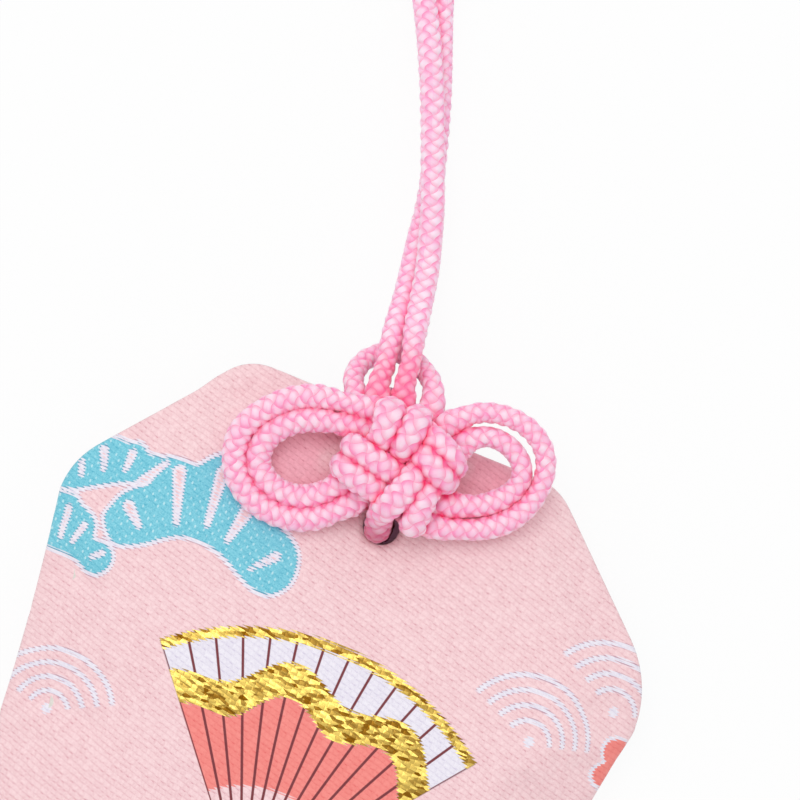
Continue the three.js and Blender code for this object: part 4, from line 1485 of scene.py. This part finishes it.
# %% Shade of the cloth
ROW = 0.5
FLOAT = 0.6
DIP_SHADE = 0.14
STROKE_SHADE = 0.62
THREAD_SHADE = 0.14
# Scale, middle and strength of slow mottling: on all of the cloth, and on the turquoise weft.
CLOTH_MOTTLE = (4.5, 0.42, 0.7)
TEAL_MOTTLE = (7, 0.45, 1.8)
MOTTLE_DETAIL = 3


def mottled(tree, cloth, shade, mottle):
    """A shade with slow, cloudy changes."""
    scale, middle, strength = mottle
    cloud = maths(tree, "SUBTRACT", noise(tree, cloth, scale, MOTTLE_DETAIL), middle)
    return maths(tree, "MULTIPLY_ADD", cloud, strength, shade)


def cloth_shade(tree, cloth, woven):
    """How dark the cloth is: in the dips of its weave, as painted shade, in its strokes, thread by thread,
    and in clouds.
    """
    # Painted shade in the dips between the weave's floats.
    shade = maths(tree, "MULTIPLY", maths(tree, "SUBTRACT", 1, woven["Height"]), DIP_SHADE)
    shade = maths(tree, "MULTIPLY_ADD", woven["Stroke"], STROKE_SHADE, shade)
    shade = maths(tree, "MULTIPLY_ADD", woven["Thread"], THREAD_SHADE, shade)
    return mottled(tree, cloth, shade, CLOTH_MOTTLE)


print("a row is", ROW, "mm, a float", FLOAT, "mm")

# %% Brocade material
CLOTH_ROUGH = 0.62
THREAD_ROUGH = 0.12
GOLD_POLISH = 0.35
BOUGH_RELIEF = 0.8
WEAVE_BUMP = 0.35
WEAVE_DEPTH = 0.00008
CLOTH_SHEEN = 0.15
CLOTH_SHEEN_ROUGH = 0.4


def brocade(name, waves, fans, blossoms):
    """Material of one panel, with its waves, fans and blossoms. The boughs come from its points."""
    material, tree, shader = new_material(name)
    cloth = attribute(tree, "cloth", "Vector")
    woven = placed(tree, weave, Cloth=cloth, Row=ROW, Float=FLOAT)
    tooth = woven["Tooth"]
    shade = cloth_shade(tree, cloth, woven)
    colour = mixed(tree, shade, PINK, PINK_DEEP)
    white = mixed(tree, shade, WHITE_WEFT, WHITE_DEEP)
    coral = mixed(tree, shade, CORAL, CORAL_DEEP)
    teal = mixed(tree, mottled(tree, cloth, shade, TEAL_MOTTLE), TURQUOISE, TURQUOISE_DEEP)
    notch = maths(tree, "MULTIPLY", above(tree, tooth, NOTCH, NOTCH), STITCH_SHARE)
    gold_share = 0.0
    for x, y, radius, lean, first, last in waves:
        rings = placed(
            tree, wave, Cloth=cloth, Centre_X=x, Centre_Y=y, Radius=radius, Lean=lean,
            From=math.radians(first), To=math.radians(last), Tooth=tooth,
        )
        colour = mixed(tree, maths(tree, "MULTIPLY", rings["Stitch"], notch), colour, STITCH)
        colour = mixed(tree, rings["Line"], colour, white)
    for x, y, radius in blossoms:
        flower = placed(tree, blossom, Cloth=cloth, Centre_X=x, Centre_Y=y, Radius=radius, Tooth=tooth)
        colour = mixed(tree, flower["Outline"], colour, white)
        colour = mixed(tree, flower["Petals"], colour, coral)
        gold_share = maths(tree, "MAXIMUM", gold_share, flower["Heart"])
    for x, y in fans:
        leaf = placed(tree, fan, Cloth=cloth, Pivot_X=x, Pivot_Y=y, Tooth=tooth)
        colour = mixed(tree, leaf["Leaf"], colour, white)
        colour = mixed(tree, leaf["Coral"], colour, coral)
        colour = mixed(tree, leaf["Rib"], colour, MAROON)
        gold_share = maths(tree, "MAXIMUM", gold_share, leaf["Gold"])
    colour, bough_share = with_boughs(tree, colour, white, teal, cloth, tooth, notch)
    gold_share = maths(tree, "MULTIPLY", gold_share, maths(tree, "SUBTRACT", 1, bough_share))
    gold, tilt = metal_thread(tree, cloth)
    colour = mixed(tree, gold_share, colour, gold)
    # Painted shade: the cloth that the bows enclose is multiplied by a deeper pink tint.
    enclosed = attribute(tree, "bow_shade", "Fac")
    feed(tree, shader["Base Color"], tinted(tree, enclosed, colour, BOW_SHADE_TINT))
    feed(tree, shader["Metallic"], gold_share)
    rough = maths(tree, "MULTIPLY_ADD", woven["Thread"], THREAD_ROUGH, CLOTH_ROUGH)
    feed(tree, shader["Roughness"], maths(tree, "MULTIPLY_ADD", gold_share, -GOLD_POLISH, rough))
    lift = maths(tree, "MULTIPLY_ADD", gold_share, tilt, woven["Height"])
    lift = maths(tree, "MULTIPLY_ADD", bough_share, BOUGH_RELIEF, lift)
    feed(tree, shader["Normal"], bump(tree, lift, WEAVE_BUMP, WEAVE_DEPTH))
    shader["Sheen Weight"].default_value = CLOTH_SHEEN
    shader["Sheen Roughness"].default_value = CLOTH_SHEEN_ROUGH
    return material


brocade_front = brocade("brocade_front", FRONT_WAVES, FRONT_FANS, FRONT_BLOSSOMS)
brocade_back = brocade("brocade_back", BACK_WAVES, BACK_FANS, BACK_BLOSSOMS)
pouch_front.data.materials.append(brocade_front)
pouch_back.data.materials.append(brocade_back)
print("brocade nodes:", len(brocade_front.node_tree.nodes), len(brocade_back.node_tree.nodes))

# %% [markdown]
# ## Cord finish
# The cord is silky polyester. Fine fibres run along every strand, so they slant one way on one
# grain and the other way on the next. The grains' backs are painted paler, a painted highlight,
# and catch a soft gloss. One set of strands is painted paler than the other, a painted sheen, and
# each grain is painted paler towards one end. A deeper pink is painted between the grains and at
# their ends as shade, and light that seeps through the silk comes out redder.

# %% Braid group
FIBRES = 9
FIBRE_STRETCH = 2
# Edge and softness of a grain's end, of the border between two grains and of a grain's back.
GRAIN_END = (0.22, 0.14)
GRAIN_BORDER = (0.06, 0.06)
GRAIN_BACK = (0.78, 0.2)

grain, given, result = new_group(
    "braid_fibres", "Braid", [], ["Fibre", "Border", "Back", "Grain", "Turn", "End", "Family"]
)


def strand_nodes(across, lengthwise, shift):
    """The same sums as strand_height, in nodes, and the place on the strand's own grain."""
    number = maths(grain, "FLOOR", across)
    part = maths(grain, "SUBTRACT", across, number)
    from_middle = maths(grain, "ABSOLUTE", maths(grain, "MULTIPLY_ADD", part, 2, -1))
    run = maths(grain, "SUBTRACT", maths(grain, "SUBTRACT", lengthwise, number), shift)
    run = maths(grain, "MULTIPLY", run, 0.5)
    over = maths(grain, "COSINE", maths(grain, "MULTIPLY", run, 2 * math.pi))
    crown = maths(grain, "POWER", from_middle, CROWN_POWER)
    height = maths(grain, "MULTIPLY_ADD", crown, -STRAND_CROWN, 1 - STRAND_DIP / 2)
    height = maths(grain, "MULTIPLY_ADD", over, STRAND_DIP / 2, height)
    nearest = maths(grain, "ROUND", run)
    return height, part, maths(grain, "SUBTRACT", run, nearest), maths(grain, "ADD", number, nearest)


along, columns, height = split(grain, given["Braid"])
half = maths(grain, "MULTIPLY", columns, 0.5)
first = maths(grain, "ADD", along, half)
second = maths(grain, "SUBTRACT", along, half)
first_strand = strand_nodes(first, second, FIRST_SHIFT)
second_strand = strand_nodes(second, first, SECOND_SHIFT)
upper = maths(grain, "GREATER_THAN", second_strand[0], first_strand[0])
across, turn, place = (
    maths(grain, "MULTIPLY_ADD", upper, maths(grain, "SUBTRACT", other, own), own)
    for own, other in zip(first_strand[1:], second_strand[1:])
)
chance = chance_at(grain, place, maths(grain, "ADD", upper, maths(grain, "ROUND", columns)))
feed(grain, result["Grain"], chance)
feed(grain, result["Turn"], turn)
feed(grain, result["Family"], maths(grain, "SUBTRACT", upper, 0.5))
feed(grain, result["End"], above(grain, maths(grain, "ABSOLUTE", turn), *GRAIN_END))
fibre_across = maths(grain, "MULTIPLY", across, FIBRES)
spot = joined(grain, fibre_across, maths(grain, "MULTIPLY", turn, FIBRE_STRETCH), place)
feed(grain, result["Fibre"], noise(grain, spot, 1))
apart = maths(grain, "ABSOLUTE", maths(grain, "SUBTRACT", first_strand[0], second_strand[0]))
feed(grain, result["Border"], below(grain, apart, *GRAIN_BORDER))
feed(grain, result["Back"], above(grain, height, *GRAIN_BACK))
print(grain.name, "nodes:", len(grain.nodes))

# %% Silk material
CORD_PINK = srgb(255, 176, 218)
CORD_PALE = srgb(255, 230, 245)
# The colour of the painted shade at the grains' ends and borders.
CORD_SHADE = srgb(250, 90, 156)
# The colour of the painted crease shade.
CORD_CREASE_SHADE = srgb(255, 60, 128)
# Painted shade of the cord in the hole: a tint that its colour is multiplied by.
SUNK_SHADE_TINT = (0.6, 0.2, 0.3, 1)
SUNK_SHADE_SHARE = 0.9
# How much paler the silk is along its fibres, on a grain's back (a painted highlight), along a
# grain towards one end (painted light), from one grain to the next, and on one set of strands
# against the other (a painted sheen).
PALE_SHARES = {"Fibre": 0.55, "Back": 0.25, "Turn": 1.1, "Grain": 0.45, "Family": 0.3}
END_SHADE_SHARE = 0.42
BORDER_SHADE_LEAST = 0.2
BORDER_SHADE_VARIES = 0.6
CREASE_SHADE_BACKS = 0.64
CREASE_SHADE_GAPS = 0.98
SILK_ROUGH = 0.3
FIBRE_ROUGH = 0.25
FIBRE_BUMP = 0.4
FIBRE_DEPTH = 0.00006
SEEP_WEIGHT = 0.35
SEEP_SPREAD = (1, 0.12, 0.25)
SEEP_DISTANCE = 0.0006
SILK_SHEEN = 0.15

silk, tree, shader = new_material("braided_silk")
braid = placed(tree, grain, Braid=attribute(tree, "braid", "Vector"))
pale = 0.0
for title, share in PALE_SHARES.items():
    pale = maths(tree, "MULTIPLY_ADD", braid[title], share, pale)
colour = mixed(tree, pale, CORD_PINK, CORD_PALE)
# Painted shade at the grains' ends and, in thin lines, at the borders between grains.
colour = mixed(tree, maths(tree, "MULTIPLY", braid["End"], END_SHADE_SHARE), colour, CORD_SHADE)
line = maths(tree, "MULTIPLY_ADD", braid["Grain"], BORDER_SHADE_VARIES, BORDER_SHADE_LEAST)
colour = mixed(tree, maths(tree, "MULTIPLY", braid["Border"], line), colour, CORD_SHADE)
# Painted crease shade, deepest in the gaps between the grains' backs.
crease_shade = maths(tree, "MULTIPLY_ADD", braid["Back"], CREASE_SHADE_BACKS - CREASE_SHADE_GAPS, CREASE_SHADE_GAPS)
crease_shade = maths(tree, "MULTIPLY", attribute(tree, "crease_shade", "Fac"), crease_shade)
colour = mixed(tree, crease_shade, colour, CORD_CREASE_SHADE)
# Painted shade deep in the hole.
sunk_shade = maths(tree, "MULTIPLY", attribute(tree, "sunk_shade", "Fac"), SUNK_SHADE_SHARE)
feed(tree, shader["Base Color"], tinted(tree, sunk_shade, colour, SUNK_SHADE_TINT))
feed(tree, shader["Roughness"], maths(tree, "MULTIPLY_ADD", braid["Fibre"], FIBRE_ROUGH, SILK_ROUGH))
feed(tree, shader["Normal"], bump(tree, braid["Fibre"], FIBRE_BUMP, FIBRE_DEPTH))
soften(tree, shader, SEEP_WEIGHT, SEEP_SPREAD, SEEP_DISTANCE)
shader["Sheen Weight"].default_value = SILK_SHEEN
for cord in cords:
    cord.data.materials.append(silk)
print("cords with the silk finish:", len(cords))

# %% [markdown]
# ## Inside the bag
# A charm bag holds a paper wrapper with a thin wooden slip, a card that keeps it flat, wadding
# and two linings. The linings and the wadding are soft, so finer pieces stand for their solids.
# They are cut a little smaller than the bag and follow the insides of its two panels.

# %% Linings and wadding
LINING_THICKNESS = 0.35
LAYER_GAP = 0.1
LAYER_RINGS = 14
LAYER_POINTS = 130
CARD_TOP_Z = 4.15
# How far each layer stays inside the bag's outline, and the line that it reaches up to.
FRONT_LINING_CUT = (4.5, 27)
BACK_LINING_CUT = (6, 15)
WADDING_CUT = (7.5, 21)


def layer_net(inset, top_y):
    """Rings of flat points inside the bag's outline, up to a line across it."""
    outline = bag_outline[::OUTLINE_POINTS // LAYER_POINTS]
    spokes = outline - BAG_CENTRE
    sizes = np.linalg.norm(spokes, axis=1)[:, None]
    outline = BAG_CENTRE + spokes / sizes * (sizes - inset)
    over = np.maximum(outline[:, 1] - BAG_CENTRE[1], TINY)
    kept = np.minimum(1, (top_y - BAG_CENTRE[1]) / over)
    outline = BAG_CENTRE + (outline - BAG_CENTRE) * kept[:, None]
    shares = np.linspace(0, 1, LAYER_RINGS + 1)[1:, None, None]
    return BAG_CENTRE + shares * (outline - BAG_CENTRE), outline


def layer_piece(name, net, upper, lower):
    """Closed piece between two heights over the same net."""
    _, cells = ring_cells(*net.shape[:2])
    return shell_piece(name, np.dstack([net, upper]), np.dstack([net, lower]), cells)


def inside_heights(net):
    """Heights of the two panels' inner faces over a net."""
    x, y = net[..., 0], net[..., 1]
    share = edge_share(net.reshape(-1, 2)).reshape(x.shape)
    top = SEAM_Z + SEAM_GAP / 2 + front_rise(x, y, share) - BROCADE_THICKNESS
    low = SEAM_Z - SEAM_GAP / 2 - back_fall(x, y, share) + BROCADE_THICKNESS
    return top - LAYER_GAP, low + LAYER_GAP


net, cut = layer_net(*FRONT_LINING_CUT)
top, _ = inside_heights(net)
front_lining = layer_piece("front_lining_cloth", net, top, top - LINING_THICKNESS)
net, cut = layer_net(*BACK_LINING_CUT)
_, low = inside_heights(net)
back_lining = layer_piece("back_lining_cloth", net, low + LINING_THICKNESS, low)
net, _ = layer_net(*WADDING_CUT)
top, _ = inside_heights(net)
upper = top - LINING_THICKNESS - LAYER_GAP
padding = layer_piece("padding_wad", net, upper, np.full(upper.shape, CARD_TOP_Z + LAYER_GAP))
for piece, node in ((front_lining, "front_lining"), (back_lining, "back_lining"), (padding, "padding")):
    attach(piece, "pouch")
    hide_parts(node)
print("wadding from", round(CARD_TOP_Z + LAYER_GAP, 2), "to", round(upper.max(), 2), "mm")

# %% [markdown]
# ## Finishes of the hidden pieces
# Card, paper, wood, thread, cotton and wadding are hidden at rest, but each still gets the finish
# of its own stuff. One recipe serves them all: two close colours in a fine noise, whose scale and
# depth make it read as fibres, grain or fluff.

# %% Plain materials of the hidden pieces
PLAIN_DETAIL = 6
PLAIN_BUMP = 0.4


def plain_finish(name, light, dark, scale, roughness, depth):
    """A material with soft mottling of two close colours and a fine bump of the same grain."""
    material, tree, shader = new_material(name)
    place = tree.nodes.new("ShaderNodeTexCoord").outputs["Object"]
    mottle = noise(tree, place, scale, PLAIN_DETAIL)
    feed(tree, shader["Base Color"], mixed(tree, mottle, light, dark))
    shader["Roughness"].default_value = roughness
    feed(tree, shader["Normal"], bump(tree, mottle, PLAIN_BUMP, depth))
    return material


# A finish has a name, its two colours, the noise's scale, a roughness and a depth.
FINISHES = {
    "stiffener_card": ("grey_card", srgb(196, 180, 158), srgb(170, 152, 130), 900, 0.9, 0.0001),
    "slip_wrapper": ("white_paper", srgb(252, 250, 243), srgb(240, 236, 226), 1400, 0.8, 0.00005),
    "talisman_slip": ("pale_wood", srgb(232, 212, 172), srgb(208, 182, 136), 260, 0.6, 0.00005),
    "seam_thread": ("pink_thread", srgb(240, 192, 196), srgb(226, 164, 174), 3000, 0.7, 0.00005),
}
LINING = ("white_cotton", srgb(246, 243, 236), srgb(226, 220, 210), 2600, 0.9, 0.0001)
WADDING = ("white_wadding", srgb(250, 249, 246), srgb(228, 226, 222), 500, 1, 0.0004)
for node, values in FINISHES.items():
    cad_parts[node].data.materials.clear()
    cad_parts[node].data.materials.append(plain_finish(*values))
lining_finish = plain_finish(*LINING)
for piece in (front_lining, back_lining):
    piece.data.materials.append(lining_finish)
padding.data.materials.append(plain_finish(*WADDING))
print("hidden pieces with a finish:", sorted(FINISHES))

# %% [markdown]
# ## Table
# The object lies on a white table. A white floor could be had with more light, but that would
# bleach the object too, so the table shines by itself for the camera and for mirrors only, and
# still shows a faint shadow. Under the hole it does not shine and has a darker pink colour,
# painted shade, because a real table is dark there.

# %% Table
TABLE_SIZE = 3.0
TABLE_Z = -0.0002
WHITE_SHARE = 0.92
HOLE_SHADE = 5
# Painted shade: the table's darker colour under the hole.
HOLE_SHADE_TINT = (0.8, 0.5, 0.68, 1)
TABLE_GREY = (0.9, 0.9, 0.9, 1)


def seen_rays(tree):
    """1 for rays that show the background, in the picture or in a mirror, and 0 for rays that light."""
    rays = tree.nodes.new("ShaderNodeLightPath").outputs
    seen = maths(tree, "MAXIMUM", rays["Is Camera Ray"], rays["Is Glossy Ray"])
    return maths(tree, "MAXIMUM", seen, rays["Is Transmission Ray"])


bpy.ops.mesh.primitive_plane_add(size=TABLE_SIZE, location=(0, 0, TABLE_Z))
table = bpy.context.object
table.name = "table"
table_white = bpy.data.materials.new("table_white")
table_white.use_nodes = True
tree = table_white.node_tree
tree.nodes.clear()
plain = tree.nodes.new("ShaderNodeBsdfDiffuse")
bright = tree.nodes.new("ShaderNodeEmission")
bright.inputs["Strength"].default_value = 1
both = tree.nodes.new("ShaderNodeMixShader")
spot = split(tree, tree.nodes.new("ShaderNodeNewGeometry").outputs["Position"])
right = maths(tree, "SUBTRACT", spot[0], HOLE[0] * MM)
up = maths(tree, "SUBTRACT", spot[1], HOLE[1] * MM)
open_table = above(tree, length_of(tree, right, up), HOLE_SHADE * MM, MM)
# Painted shade under the hole, grey elsewhere.
feed(tree, plain.inputs["Color"], mixed(tree, open_table, HOLE_SHADE_TINT, TABLE_GREY))
seen = maths(tree, "MULTIPLY", seen_rays(tree), WHITE_SHARE)
feed(tree, both.inputs[0], maths(tree, "MULTIPLY", seen, open_table))
tree.links.new(plain.outputs[0], both.inputs[1])
tree.links.new(bright.outputs[0], both.inputs[2])
output = tree.nodes.new("ShaderNodeOutputMaterial")
tree.links.new(both.outputs[0], output.inputs["Surface"])
table.data.materials.append(table_white)
print("table at", TABLE_Z, "m")

# %% [markdown]
# ## Light
# Soft studio light comes from all round, with a little more from the upper left. The world gives
# the even part and one large lamp the rest. The level is plain: a colour renders about as written.

# %% Light
LAMP_PLACE = np.array([-0.3, 0.4, 1.05])
LAMP_SIZE = 0.7
LAMP_POWER = 3.4
AMBIENT = 0.77

lamp_data = bpy.data.lights.new("soft_lamp", "AREA")
lamp_data.energy = LAMP_POWER
lamp_data.size = LAMP_SIZE
lamp = bpy.data.objects.new("soft_lamp", lamp_data)
lamp.location = LAMP_PLACE
aim = camera.location.copy()
aim.z = 0
lamp.rotation_euler = (lamp.location - aim).to_track_quat("Z", "Y").to_euler()
scene.collection.objects.link(lamp)
world = bpy.data.worlds.new("studio")
scene.world = world
world.use_nodes = True
tree = world.node_tree
sky = tree.nodes["Background"].inputs
sky["Color"].default_value = (1, 1, 1, 1)
feed(tree, sky["Strength"], maths(tree, "MULTIPLY_ADD", seen_rays(tree), 1 - AMBIENT, AMBIENT))
print("lamp power:", LAMP_POWER, "W, ambient:", AMBIENT)
